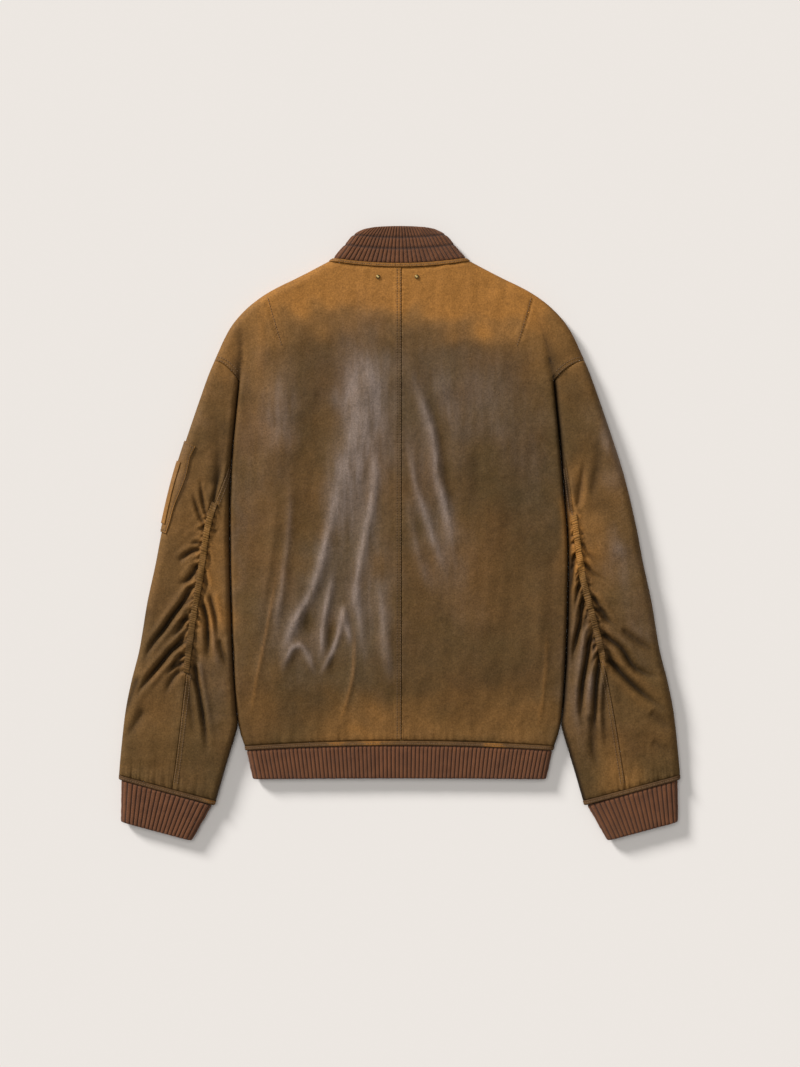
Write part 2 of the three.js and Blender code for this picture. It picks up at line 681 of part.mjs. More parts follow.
// Two plates over and under the chain, joined past its end, with a small bar for the pull below.
function zipSlider() {
  const x = centreSeamX;
  const { y, half, length, plate, lugHalf, barRadius } = slider;
  const bottom = zipTapeZ + zipTapeWall / 2 - chain.wall / 2 - seamGap;
  const top = bottom + chain.wall + 2 * seamGap;
  const back = y - length + 3;
  const bar = new THREE.CylinderGeometry(barRadius, barRadius, 2 * lugHalf + 0.4, 10);
  bar.rotateZ(Math.PI / 2).translate(x, pull.pivotY, pull.pivotZ);
  const lugs = [-1, 1].map((s) => {
    const nearX = x + s * (lugHalf - 0.2);
    const farX = x + s * (lugHalf + 0.7);
    const low = [Math.min(nearX, farX), pull.pivotY - 0.8, pull.pivotZ - 0.7];
    return block(low, [Math.max(nearX, farX), pull.pivotY + 0.8, bottom - plate / 2]);
  });
  return join([
    block([x - half, back, top], [x + half, y + 3, top + plate]),
    block([x - half, back, bottom - plate], [x + half, y + 3, bottom]),
    block([x - 1.6, y + seamGap, bottom - plate / 2], [x + 1.6, y + 2.6, top + plate / 2]),
    bar,
    ...lugs,
  ]);
}

// The pull: an eye round the slider's bar and a flat tab, lying along the zip.
function zipPull() {
  const { pivotY, pivotZ, eyeOuter, eyeInner, eyeHalf, reach, half, wall } = pull;
  const eye = new THREE.Shape().absarc(0, 0, eyeOuter, 0, 2 * Math.PI);
  eye.holes.push(new THREE.Path().absarc(0, 0, eyeInner, 0, 2 * Math.PI, true));
  const ring = new THREE.ExtrudeGeometry(eye, { depth: 2 * eyeHalf, bevelEnabled: false, curveSegments: 8 });
  ring.rotateY(Math.PI / 2).translate(centreSeamX - eyeHalf, pivotY, pivotZ);
  const bottom = pivotZ - eyeOuter;
  const x = centreSeamX;
  const neck = block([x - eyeHalf, pivotY - 4, bottom], [x + eyeHalf, pivotY - 1.2, bottom + wall]);
  const tab = block([x - half, pivotY - reach, bottom], [x + half, pivotY - 3.4, bottom + wall]);
  return join([ring, neck, tab]);
}

// A plain domed stud, a gap above the leather it is riveted to.
function stud(x, y) {
  const half = halves[x < centreSeamX ? "left" : "right"];
  const base = backHeight(half, half.side * x, y) + 2 * seamGap;
  const profile = [[0, 0], [3, 0], [3, 0.6], [2.3, 1.3], [1.2, 1.7], [0, 1.8]];
  const points = profile.map(([r, z]) => new THREE.Vector2(r, z));
  return new THREE.LatheGeometry(points, 16).rotateX(Math.PI / 2).translate(x, y, base);
}

// ---- materials ----
const paint = (color, roughness, metalness = 0) =>
  new THREE.MeshStandardMaterial({ color, roughness, metalness });
const leather = () => paint(0x5e4526, 0.5);
const edgeLeather = () => paint(0x4a3420, 0.55);
const rubbedLeather = () => paint(0x8a6530, 0.6);
const ribKnit = () => paint(0x5c3a26, 0.95);
const zipCloth = () => paint(0x3a2a1e, 0.9);
const agedBrass = () => paint(0x8c7a55, 0.35, 1);

// ---- assembly ----
const jacket = new THREE.Group();
function addPiece(name, geometry, material) {
  const mesh = new THREE.Mesh(geometry, material);
  mesh.name = name;
  jacket.add(mesh);
}

for (const [name, half] of Object.entries(halves)) {
  const sleeve = makeSleeve(half, name);
  addPiece(`back_${name}`, backPanel(half), leather());
  addPiece(`front_${name}`, frontPanel(half), leather());
  addPiece(`sleeve_${name}_outer`, sleeveTopPanel(sleeve), leather());
  addPiece(`sleeve_${name}_under`, sleeveUnderPanel(sleeve), leather());
  addPiece(`elbow_tape_${name}`, elbowTape(sleeve), rubbedLeather());
  const strip = cuffStations(half, cuffStrip, [cuffHeight, cuffHeight], 1);
  addPiece(`cuff_strip_${name}`, flatRing(strip, stripWall), edgeLeather());
  const cuff = cuffStations(half, cuffRib, [cuffHeight, 15], 2);
  addPiece(`cuff_rib_${name}`, flatRing(cuff, knitWall), ribKnit());
  if (name === "left") {
    const reaches = { topReach: pocketReach, underReach: pocket.under };
    const patch = { ...pocket, ...reaches, steps: 6, gap: 1.2 * curvedSeamGap };
    addPiece("sleeve_pocket", sleeveWrap(sleeve, patch), leather());
    addPiece("sleeve_pen_slots", sleeveWrap(sleeve, penSlots), leather());
  }
  addPiece(`zip_tape_${name}`, zipTape(half.side), zipCloth());
  addPiece(`stud_${name}`, stud(...studPlaces[name]), agedBrass());
}
const openFront = { slit: frontSlitHalf, flatSteps: 5 };
addPiece("hem_strip", flatRing(bandStations(hemStrip, hemHeight, 1), stripWall, openFront), edgeLeather());
addPiece("hem_rib", flatRing(bandStations(hemRib, hemHeight, 2), knitWall, openFront), ribKnit());
addPiece("neck_strip", flatRing(neckStripStations(), stripWall, openFront), edgeLeather());
addPiece("collar_rib", flatRing(collarStations(), knitWall, { slit: 2 }), ribKnit());
addPiece("zip_chain", zipChain(), agedBrass());
addPiece("zip_slider", zipSlider(), agedBrass());
addPiece("zip_pull", zipPull(), agedBrass());

export default jacket;
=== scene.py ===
# A worn brown leather bomber jacket, laid flat with its back up. Shapes are worked out in
# millimetres and written in metres. x runs to the wearer's right, y from the hem to the collar.
import bpy
import math
import numpy as np
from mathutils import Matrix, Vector


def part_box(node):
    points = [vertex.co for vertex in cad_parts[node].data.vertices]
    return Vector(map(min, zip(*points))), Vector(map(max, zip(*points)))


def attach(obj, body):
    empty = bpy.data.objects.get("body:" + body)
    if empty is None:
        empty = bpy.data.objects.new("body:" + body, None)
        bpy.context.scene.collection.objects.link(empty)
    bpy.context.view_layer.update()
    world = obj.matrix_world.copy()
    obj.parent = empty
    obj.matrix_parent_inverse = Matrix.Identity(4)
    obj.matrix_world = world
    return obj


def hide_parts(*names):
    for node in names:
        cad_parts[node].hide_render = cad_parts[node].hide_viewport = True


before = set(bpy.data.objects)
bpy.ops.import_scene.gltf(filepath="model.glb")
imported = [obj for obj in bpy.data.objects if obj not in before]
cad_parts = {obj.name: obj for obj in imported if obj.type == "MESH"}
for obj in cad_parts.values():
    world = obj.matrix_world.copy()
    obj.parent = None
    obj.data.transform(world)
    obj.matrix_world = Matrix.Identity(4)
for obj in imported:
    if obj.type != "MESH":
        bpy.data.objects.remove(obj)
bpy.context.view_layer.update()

mm = 0.001

garment = dict(
    midHeight=9,        # where the back and the front meet round the edge
    edgeRadius=12,      # how far in the rounding of an edge reaches
    bodyValley=6,       # the body's side of the valley between it and a sleeve is steep,
    valleyRadius=9,     # and the sleeve's side is gentle
    turn=15,            # surface length of a rounded edge
    lowest=0.02,        # nothing reaches below this, just above the surface that the jacket lies on
    leather=2.0, knit=3.4, strip=2.0,
    centreSeamX=3, slit=4.5, zipRecess=4, recessReach=16,
    hemHeight=15, bodyHeight=23, neckHeight=17, sleeveHeight=19, cuffHeight=16,
    hemY=-280.4, neckBackY=360.4, neckFrontY=338, underarmY=127,
    armholeBow=6, foldLean=4,
    sleeveRun=590,      # along a sleeve, from the armhole to the cuff
)

outlines = dict(        # plan lines of one half, as distance from x = 0 and y
    shoulder=[(96, 369), (134, 349), (175, 328.5), (205, 307), (228, 281), (242, 254), (251, 234)],
    sleeve=[(251, 234), (262, 207), (290.5, 124), (307, 70), (321, 10), (331, -42), (342, -93),
            (349, -136), (354, -163), (364, -202), (372, -243), (378, -297), (380.5, -327)],
    fold=[(210, -288), (217, -266), (222, -225), (227, -130), (229, -20), (226, 60), (221, 127), (213, 207)],
    valleyTopLeft=[(213, 207), (209, 251), (212, 291), (217, 312)],
    valleyTopRight=[(213, 207), (203, 251), (193, 285), (186, 314)],
    sleeveInner=[(220, -262), (230, -297), (238, -324), (249, -362)],
    elbowLeft=[(-221, 127), (-236, 76), (-257, 18), (-270, -63), (-282, -137), (-291, -213), (-299, -281),
               (-308, -346)],
    elbowRight=[(221, 127), (231, 60), (239, 0), (248, -60), (260, -108), (273, -160), (289, -236),
                (307, -345)],
    dart=[(181, 322), (172, 290), (161, 254)],
)


def ease(t):
    # 0 below 0, 1 above 1, and a smooth step between
    t = np.clip(t, 0, 1)
    return t * t * (3 - 2 * t)


def rounded(distance, radius):
    # a quarter ellipse: 0 at the edge, 1 from the radius inwards
    return np.sqrt(1 - (1 - np.clip(distance / radius, 0, 1)) ** 2)


def mix(a, b, t):
    # from a, where t is 0, to b, where t is 1, in a straight line
    return a + (b - a) * t


def bell(distance, width, sharp=2.0):
    # 1 on the line, falling off to both sides; sharp below 2 gives a pinched crest
    return np.exp(-np.abs(distance / width) ** sharp)


def curveThrough(points, count):
    # a Catmull-Rom curve through the points, then points at even distances along it
    p = np.array(points, float)
    q = np.vstack([p[:1], p, p[-1:]])
    t = np.linspace(0, len(p) - 1, 40 * len(p))
    k = np.minimum(t.astype(int), len(p) - 2)
    f = (t - k)[:, None]
    a, b, c, d = q[k], q[k + 1], q[k + 2], q[k + 3]
    out, into = (c - a) / 2, (d - b) / 2
    line = (2 * b - 2 * c + out + into) * f ** 3 + (3 * c - 3 * b - 2 * out - into) * f ** 2 + out * f + b
    along = np.append(0, np.cumsum(np.hypot(*np.diff(line, axis=0).T)))
    even = np.linspace(0, along[-1], count + 1)
    return np.stack([np.interp(even, along, line[:, 0]), np.interp(even, along, line[:, 1])], axis=1)


def nearest(line, x, y):
    # distance from each point to a line of points, how far along it (0 to 1), and on which side
    best = np.full(x.shape, 1e9)
    along = np.zeros(x.shape)
    side = np.ones(x.shape)
    for k in range(len(line) - 1):
        a = line[k]
        ex, ey = line[k + 1] - a
        t = np.clip(((x - a[0]) * ex + (y - a[1]) * ey) / (ex * ex + ey * ey), 0, 1)
        dx, dy = x - a[0] - t * ex, y - a[1] - t * ey
        d = np.hypot(dx, dy)
        hit = d < best
        best = np.where(hit, d, best)
        along = np.where(hit, (k + t) / (len(line) - 1), along)
        side = np.where(hit, np.where(ex * dy - ey * dx >= 0, 1.0, -1.0), side)
    return best, along, side


def waves(x, y, size, seed, count=18):
    # gentle unevenness: a sum of plane waves about `size` long, in random directions; about -1 to 1
    rng = np.random.default_rng(seed)
    total = np.zeros(x.shape)
    for _ in range(count):
        turn, phase = rng.uniform(0, 2 * math.pi, 2)
        length = size * rng.uniform(0.7, 1.6)
        total += np.sin((x * math.cos(turn) + y * math.sin(turn)) * 2 * math.pi / length + phase)
    return total / math.sqrt(count) * 0.9


# ---- creases ----
# Each is a line on the plan with a height, a half width, how pinched it is, and how far its crest
# is rubbed pale; some also get a painted highlight along the crest. Troughs have a negative height,
# and painted shade along their bottoms.
backCreases = [
    dict(path=[(-50, 268), (-50, 161), (-66, 108), (-84, 50), (-96, -20)], height=4.6, width=27),
    dict(path=[(-84, 60), (-106, -41), (-119, -80), (-142, -123), (-155, -157), (-161, -190)], height=4.6,
         width=8, sharp=1.6, paintedCrestHighlight=0.35),
    dict(path=[(-36, 150), (-33, 67), (-50, -27), (-59, -82), (-52, -121), (-49, -165), (-45, -195)],
         height=3.4, width=6.5, sharp=1.5, paintedCrestHighlight=0.3),
    dict(path=[(-148, 80), (-150, 6), (-157, -60), (-165, -113), (-169, -165)], height=3.0, width=6,
         sharp=1.5, paintedCrestHighlight=0.2),
    dict(path=[(-165, 56), (-172, -17), (-185, -100), (-193, -152)], height=2.6, width=8, sharp=1.5),
    dict(path=[(-167, 225), (-160, 160), (-158, 95)], height=3.2, width=20),
    dict(path=[(-70, -90), (-75, -105), (-83, -139), (-98, -175), (-111, -195)], height=3.6, width=4.5,
         sharp=1.5, paintedCrestHighlight=0.55),
    dict(path=[(-91, -40), (-93, -75), (-101, -113), (-104, -152), (-108, -184)], height=3.6, width=5,
         sharp=1.5, paintedCrestHighlight=0.5),
    dict(path=[(-76, -92), (-74, -112), (-68, -140), (-67, -156)], height=3.0, width=4.5, sharp=1.5,
         paintedCrestHighlight=0.5),
    dict(path=[(-161, -192), (-147, -159), (-134, -151), (-124, -165), (-113, -195)], height=3.0, width=5,
         sharp=1.6, paintedCrestHighlight=0.4),
    dict(path=[(-88, -110), (-92, -150), (-88, -205)], height=-2.6, width=7),
    dict(path=[(-126, -60), (-126, -110), (-120, -145)], height=-2.6, width=9),
    dict(path=[(-30, -50), (-26, -75), (-21, -121), (-16, -170), (-10, -211)], height=2.8, width=8,
         sharp=1.5, paintedCrestHighlight=0.3),
    dict(path=[(-104, 190), (-118, 60), (-126, -40)], height=-3.2, width=22),
    dict(path=[(9, 240), (25, 194), (44, 137), (53, 72), (67, 16), (73, -55)], height=3.8, width=8,
         sharp=1.5, paintedCrestHighlight=0.3),
    dict(path=[(10, 140), (21, 72), (35, 25), (58, -41), (74, -74)], height=3.0, width=7, sharp=1.5,
         paintedCrestHighlight=0.25),
    dict(path=[(40, 235), (70, 160), (86, 91), (93, 45)], height=2.6, width=13),
    dict(path=[(26, 215), (52, 150), (64, 80), (80, 10)], height=-2.4, width=9),
    dict(path=[(8, 60), (26, -30), (48, -90)], height=1.8, width=7, paintedCrestHighlight=0.1),
    dict(path=[(112, 250), (138, 130), (176, 50)], height=2.2, width=30),
    dict(path=[(185, -40), (190, -130), (188, -215)], height=1.8, width=9),
    dict(path=[(150, 60), (160, -60), (150, -160)], height=-1.8, width=22),
    dict(path=[(90, -70), (112, -150), (118, -230)], height=1.8, width=20),
    dict(path=[(-203, -262), (-194, -200), (-184, -152), (-171, -82), (-166, -40)], height=1.6, width=2.6,
         sharp=1.3, rub=0.45),
    dict(path=[(-84, -268), (-80, -254), (-70, -221), (-63, -190), (-61, -139), (-62, -118)], height=1.8,
         width=3, sharp=1.3, rub=0.45),
    dict(path=[(186, -276), (196, -200), (200, -120)], height=1.4, width=3, sharp=1.3, rub=0.3),
    dict(path=[(-192, 306), (-186, 270), (-190, 200)], height=1.6, width=9, rub=0.2),
]
sleeveCreases = dict(
    left=[
        dict(path=[(-276, -66), (-294, -95), (-307, -112), (-319, -130), (-332, -146), (-343, -166),
                   (-350, -186)], height=-6.5, width=3.2, shoulder=0.35),
        dict(path=[(-286, -130), (-297, -147), (-309, -159), (-322, -175), (-337, -193), (-351, -212),
                   (-362, -232)], height=-6.5, width=3.2, shoulder=0.35),
        dict(path=[(-285, -107), (-292, -120), (-300, -132), (-308, -143)], height=-4.2, width=2.6,
             shoulder=0.3),
        dict(path=[(-290, -160), (-302, -173), (-309, -183), (-317, -194)], height=-3.8, width=2.6,
             shoulder=0.3),
        dict(path=[(-292, -171), (-301, -187), (-311, -204), (-318, -224)], height=-3.0, width=3.4,
             shoulder=0.3),
        dict(path=[(-268, -21), (-280, -24), (-291, -31), (-301, -41)], height=-4.4, width=2.8,
             shoulder=0.35),
        dict(path=[(-271, -40), (-279, -54), (-288, -64), (-302, -70)], height=-5.0, width=3.4,
             shoulder=0.35),
        dict(path=[(-265, -12), (-276, -13), (-284, -15)], height=-3.2, width=2.2, shoulder=0.3),
        dict(path=[(-260, 2), (-264, 11), (-272, 30), (-281, 60)], height=-3.4, width=2.4, shoulder=0.3),
        dict(path=[(-257, 18), (-262, 28), (-267, 52), (-270, 80)], height=-3.4, width=2.2, shoulder=0.3),
        dict(path=[(-256, 24), (-252, 42), (-246, 70), (-238, 104)], height=-3.6, width=2.6, shoulder=0.3),
        dict(path=[(-258, 6), (-266, 5), (-276, 7)], height=-3.4, width=2.0, shoulder=0.3),
        dict(path=[(-258, 6), (-252, 4), (-243, 2)], height=-2.6, width=2.0, shoulder=0.2),
        dict(path=[(-340, -96), (-350, -118), (-354, -140)], height=-2.2, width=7),
        dict(path=[(-352, -190), (-366, -226), (-378, -262)], height=-3.4, width=4.5, shoulder=0.3),
        dict(path=[(-344, -236), (-360, -262), (-377, -284)], height=-2.0, width=5, shoulder=0.3),
        dict(path=[(-270, -86), (-264, -101), (-260, -120), (-259, -143), (-258, -164), (-254, -182)],
             height=-6.0, width=3.2, shoulder=0.4, rub=0.25),
        dict(path=[(-257, -80), (-250, -110), (-247, -132), (-245, -148)], height=-4.0, width=3.2,
             shoulder=0.35, rub=0.2),
        dict(path=[(-280, -163), (-277, -180), (-274, -197), (-270, -220), (-266, -245), (-261, -284),
                   (-262, -310)], height=-6.0, width=3.0, shoulder=0.4),
        dict(path=[(-245, -142), (-238, -166), (-230, -184)], height=-3.4, width=4, shoulder=0.3),
        dict(path=[(-266, -46), (-261, -66), (-262, -84)], height=-3.0, width=2.4, shoulder=0.3, rub=0.2),
        dict(path=[(-284, -190), (-282, -230), (-274, -290)], height=-2.6, width=5, shoulder=0.3),
        dict(path=[(-254, 62), (-247, 84), (-243, 120)], height=-2.0, width=5, shoulder=0.2),
        dict(path=[(-330, -250), (-340, -290), (-338, -325)], height=2.2, width=16),
        dict(path=[(-270, 180), (-258, 120), (-250, 60)], height=2.4, width=14),
        dict(path=[(-300, 90), (-296, 20), (-316, -30)], height=1.8, width=16),
    ],
    right=[
        dict(path=[(250, -74), (247, -97), (245, -118), (240, -140), (236, -160), (233, -186)], height=-6.5,
             width=3.2, shoulder=0.4),
        dict(path=[(262, -124), (257, -146), (255, -163), (251, -185), (247, -212), (246, -245),
                   (250, -280)], height=-6.5, width=3.2, shoulder=0.4),
        dict(path=[(270, -150), (270, -176), (267, -197), (265, -230), (265, -262), (270, -300)],
             height=-6.0, width=3.0, shoulder=0.4),
        dict(path=[(239, -22), (234, -50), (232, -80)], height=-5.0, width=2.8, shoulder=0.4),
        dict(path=[(246, -50), (240, -84), (236, -110)], height=-4.4, width=2.6, shoulder=0.35),
        dict(path=[(256, -100), (250, -122), (247, -138)], height=-3.6, width=2.4, shoulder=0.3, rub=0.2),
        dict(path=[(266, -136), (263, -150), (262, -164)], height=-3.4, width=2.2, shoulder=0.3, rub=0.2),
        dict(path=[(278, -196), (276, -240), (280, -300)], height=-2.6, width=5, shoulder=0.3),
        dict(path=[(258, -240), (262, -290), (272, -330)], height=-3.0, width=5, shoulder=0.3),
        dict(path=[(259, -82), (275, -105), (285, -120), (298, -133)], height=-4.4, width=3.2,
             shoulder=0.35, rub=0.15),
        dict(path=[(263, -100), (274, -112), (285, -126)], height=-3.4, width=2.6, shoulder=0.3),
        dict(path=[(269, -124), (283, -142), (301, -156), (315, -178), (328, -188), (345, -194),
                   (364, -196)], height=-5.0, width=4.0, shoulder=0.4),
        dict(path=[(276, -152), (290, -177), (311, -200), (331, -218), (352, -234), (370, -246)],
             height=-5.0, width=4.2, shoulder=0.45, rub=0.2),
        dict(path=[(298, -128), (322, -146), (344, -160), (356, -170)], height=-3.0, width=5, shoulder=0.35),
        dict(path=[(244, -10), (258, -30), (276, -44)], height=-2.6, width=3.2, shoulder=0.3),
        dict(path=[(248, -34), (262, -54), (284, -66)], height=-2.8, width=3.0, shoulder=0.3),
        dict(path=[(236, 22), (228, 50), (226, 90)], height=-3.0, width=3.0, shoulder=0.3),
        dict(path=[(240, 30), (246, 70), (252, 110)], height=-2.4, width=4, shoulder=0.3),
        dict(path=[(258, 40), (268, 90), (270, 140)], height=-1.8, width=7),
        dict(path=[(338, -240), (358, -258), (378, -270)], height=-1.8, width=7, shoulder=0.3),
        dict(path=[(340, -282), (362, -292), (379, -296)], height=-1.5, width=7, shoulder=0.3),
        dict(path=[(270, 190), (284, 110), (286, 40)], height=2.2, width=16),
        dict(path=[(262, 30), (290, -10), (306, -40)], height=2.8, width=18),
        dict(path=[(300, -230), (318, -280), (322, -330)], height=1.8, width=14),
    ],
)


def drawn(creases):
    # the creases, each with the smooth line through its points
    return [dict(c, line=curveThrough(c["path"], 14)) for c in creases]


backCreases = drawn(backCreases)
sleeveCreases = {name: drawn(creases) for name, creases in sleeveCreases.items()}


def creaseField(creases, x, y):
    # sum of every crease's bell across its line, faded at both ends, with a rounded shoulder on
    # each side where it has one; also its rubbed crests, the painted shade in its trough and the painted
    # highlight along its crest
    height, rub, dark, paintedCrestHighlight = (np.zeros(x.shape) for _ in range(4))
    for c in creases:
        width, reach = c["width"], 5 * c["width"]
        low, high = c["line"].min(axis=0) - reach, c["line"].max(axis=0) + reach
        near = (x > low[0]) & (x < high[0]) & (y > low[1]) & (y < high[1])
        if not near.any():
            continue
        d, along, _ = nearest(c["line"], x[near], y[near])
        opening = ease((7 if "shoulder" in c else 3.2) * along)
        fade = opening * ease((2 if "shoulder" in c else 3.2) * (1 - along))
        beside = bell(d - 2.5 * width, 1.4 * width)
        raised = -c["height"] * c.get("shoulder", 0) * beside
        height[near] += fade * (c["height"] * bell(d, width, c.get("sharp", 1.7)) + raised)
        crest = beside if "shoulder" in c else bell(d, 0.7 * width)
        rub[near] += c.get("rub", 0) * fade * crest
        # painted shade, with some soiling, along the trough
        dark[near] += fade * np.clip(-c["height"] / 4.5, 0, 1.2) * bell(d, 0.95 * width)
        # painted highlight along the crest
        paintedCrestHighlight[near] += 1.4 * c.get("paintedCrestHighlight", 0) * fade * bell(d, 0.75 * width)
    return height, rub, dark, paintedCrestHighlight


# ---- plan of one half ----
def valleyDepth(y):
    # full beside the sleeve, fading out up the shoulder
    return 1 - 0.85 * ease((y - 185) / 110) - 0.15 * ease((y - 290) / 25)


def makeHalf(name):
    # the outlines and seams of one half, leaned the way the jacket lies
    side = -1 if name == "left" else 1
    g = garment

    def leaning(points):
        return [(x - side * g["foldLean"] * float(ease(np.array((y + 60) / 160))), y) for x, y in points]

    fold = curveThrough(leaning(outlines["fold"]), 120)
    valley = np.vstack([fold[::2], curveThrough(leaning(outlines["valleyTop" + name.capitalize()]), 14)[1:]])
    shoulder = curveThrough(outlines["shoulder"], 120)
    outer = curveThrough(outlines["sleeve"], 120)
    outline = np.vstack([shoulder[::3], outer[2:24:2]])
    foldDown = fold[::-1]
    inner = [tuple(p + (0.35, 0)) for p in foldDown[foldDown[:, 1] > -255][::12]]
    inner = curveThrough(inner + outlines["sleeveInner"], 240)
    elbow = curveThrough(outlines["elbowLeft" if side < 0 else "elbowRight"], 160)
    return dict(name=name, side=side, centre=side * g["centreSeamX"], fold=fold, valley=valley,
                shoulder=shoulder, outer=curveThrough(outlines["sleeve"], 240), inner=inner,
                outline=outline, elbow=elbow, elbowLength=float(np.hypot(*np.diff(elbow, axis=0).T).sum()))


halves = {name: makeHalf(name) for name in ("left", "right")}


def armholePoint(half, t):
    # the armhole seam, from its inner end (0) to the outline (1): a straight line with a low bow
    a, b = half["fold"][-1], half["outer"][0]
    x = mix(a[0], b[0], t)
    return np.stack([x, mix(a[1], b[1], t) + garment["armholeBow"] * 4 * t * (1 - t)], axis=-1)


# ---- seams as relief ----
def seamRelief(d, allowance, puckers):
    # a valley on the seam line, the layer below lifting the leather beside it, two dips under the
    # stitch rows, and small puckers that die out 12 mm away
    side = ease(d / 0.8) * (1 - ease((d - 8) / 2.5))
    rows = 0.25 * (bell(d - 1.8, 0.6) + bell(d - 6.2, 0.6)) * allowance
    return -0.55 * bell(d, 0.8) + 0.4 * allowance * side - rows + 0.3 * puckers * bell(d, 9)


def puckerWave(s, pitch, seed):
    # rounded ridges with narrow valleys along a seam, their spacing wandering by a third
    drift = 0.33 * np.sin(s / pitch * 0.9 + seed) + 0.25 * np.sin(s / pitch * 0.37 + 2 * seed)
    return 2 * np.abs(np.sin(math.pi * (s / pitch + drift))) ** 0.7 - 1.2


# ---- body ----
def bodyTop(half, x, y):
    # height of the back before its edges are rounded: loft, creases, darts, seam and hem gathers
    g = garment
    worldX = half["side"] * x
    fromHem = ease((y - g["hemY"]) / 90)
    toNeck = ease((y - 200) / 170)
    loft = mix(mix(g["hemHeight"], g["bodyHeight"], fromHem), g["neckHeight"], toNeck)
    across = 3 * (np.abs(x) / 220) ** 3 * fromHem * (1 - toNeck)
    creased = creaseField(backCreases, worldX, y)[0]
    height = loft - across + ease((y - g["hemY"]) / 40) * creased
    height += 0.55 * waves(worldX, y, 95, 3) + 0.28 * waves(worldX, y, 38, 5) + 0.10 * waves(worldX, y, 14, 8)
    height += 0.2 * waves(worldX, 0.2 * y, 20, 27)
    toHem = np.clip(y - g["hemY"] + 7 * (x / 210) ** 2, 0, None)
    gathers = puckerWave(worldX + 3 * waves(worldX, y, 60, 21), 11, 1.3) + 0.5 * puckerWave(worldX, 5.3, 4.1)
    height += 0.75 * gathers * np.exp(-toHem / 13) - 1.2 * bell(toHem, 3)
    toNeckSeam = np.hypot(np.clip(g["neckBackY"] + 8.6 * (x / 96) ** 2 - y, 0, None),
                          np.clip(x - 96, 0, None))
    height -= 1.1 * bell(toNeckSeam, 3)
    d, along, _ = nearest(curveThrough(outlines["dart"], 12), x, y)
    height += (-1.8 * bell(d, 1.1) + 0.6 * bell(d - 4, 3)) * ease(5 * (1 - along))
    toArmhole, along, _ = nearest(armholePoint(half, np.linspace(0, 1, 12)), x, y)
    height += seamRelief(toArmhole, 1.0, 0.5 * puckerWave(46 * along, 8, 0.5))
    fromSeam = x - half["centre"]
    allowance = 1.0 if half["side"] < 0 else 0.0
    return height + seamRelief(fromSeam, allowance, puckerWave(y, 8.5, 2.0 + half["side"]))


def edgeFactors(half, x, y):
    # 0 on the outline and in the valley, rounding up to 1 a radius inside; the valley's distance is
    # softened up the shoulder
    toOutline = rounded(nearest(half["outline"], x, y)[0], garment["edgeRadius"])
    soft = 2.5 * ease((y - 200) / 25)
    toValley = rounded(np.hypot(nearest(half["valley"], x, y)[0], soft), garment["bodyValley"] + soft)
    return toOutline, toValley


def backHeight(half, x, y):
    # the edge's height, plus what the top is above it times the rounding at the outline and times
    # (1 - the valley's depth times (1 - the rounding at the valley))
    toOutline, toValley = edgeFactors(half, x, y)
    mid = garment["midHeight"]
    open_ = 1 - valleyDepth(y) * (1 - toValley)
    return mid + (bodyTop(half, x, y) - mid) * toOutline * open_


def frontHeight(half, x, y):
    # flat on the surface, turned up at its edges and risen at the zip
    g = garment
    toOutline, toValley = edgeFactors(half, x, y)
    closed = 1 - ease((y - g["underarmY"] + 24) / 24)
    rim = 1 - toOutline * (1 - closed * (1 - toValley))
    slit = np.abs(x - half["centre"]) - g["slit"]
    recess = g["zipRecess"] * (1 - ease(slit / g["recessReach"]))
    return np.maximum((g["midHeight"] - 0.3) * rim, recess)


# ---- meshes ----
def meshPiece(name, points, faces, material, flat=None, layers=None, uv=None, lowest=garment["lowest"]):
    # one object from points in millimetres, pressed flat where it would go through the surface that
    # the jacket lies on; flat marks faces that keep a hard edge
    mesh = bpy.data.meshes.new(name)
    points = np.array(points, float)
    points[:, 2] = np.maximum(points[:, 2], lowest)
    mesh.from_pydata((points * mm).tolist(), [], np.asarray(faces).tolist())
    smooth = np.ones(len(faces), bool)
    if flat is not None:
        smooth[flat] = False
    mesh.polygons.foreach_set("use_smooth", smooth)
    for key, values in (layers or {}).items():
        mesh.attributes.new(key, "FLOAT", "POINT").data.foreach_set("value",
                                                                    np.asarray(values, np.float32).ravel())
    if uv is not None:
        corner = np.zeros(len(mesh.loops), np.int32)
        mesh.loops.foreach_get("vertex_index", corner)
        mesh.uv_layers.new(name="cut").data.foreach_set("uv", np.asarray(uv, np.float32)[corner].ravel())
    piece = bpy.data.objects.new(name, mesh)
    bpy.context.scene.collection.objects.link(piece)
    mesh.materials.append(material)
    return piece


def gridNormals(grid, outward, uprightFirst=None, uprightLast=None, wrap=False):
    # crossed differences between neighbours; an upright edge column is turned straight up or down
    if wrap:
        across = np.roll(grid, -1, axis=1) - np.roll(grid, 1, axis=1)
    else:
        across = np.gradient(grid, axis=1)
    if uprightFirst is not None:
        rows, turned = uprightFirst
        across[rows, 0] = (0, 0, turned)
    if uprightLast is not None:
        rows, turned = uprightLast
        across[rows, -1] = (0, 0, turned)
    normals = np.cross(across, np.gradient(grid, axis=0))
    return outward * normals / np.maximum(np.linalg.norm(normals, axis=2, keepdims=True), 1e-9)


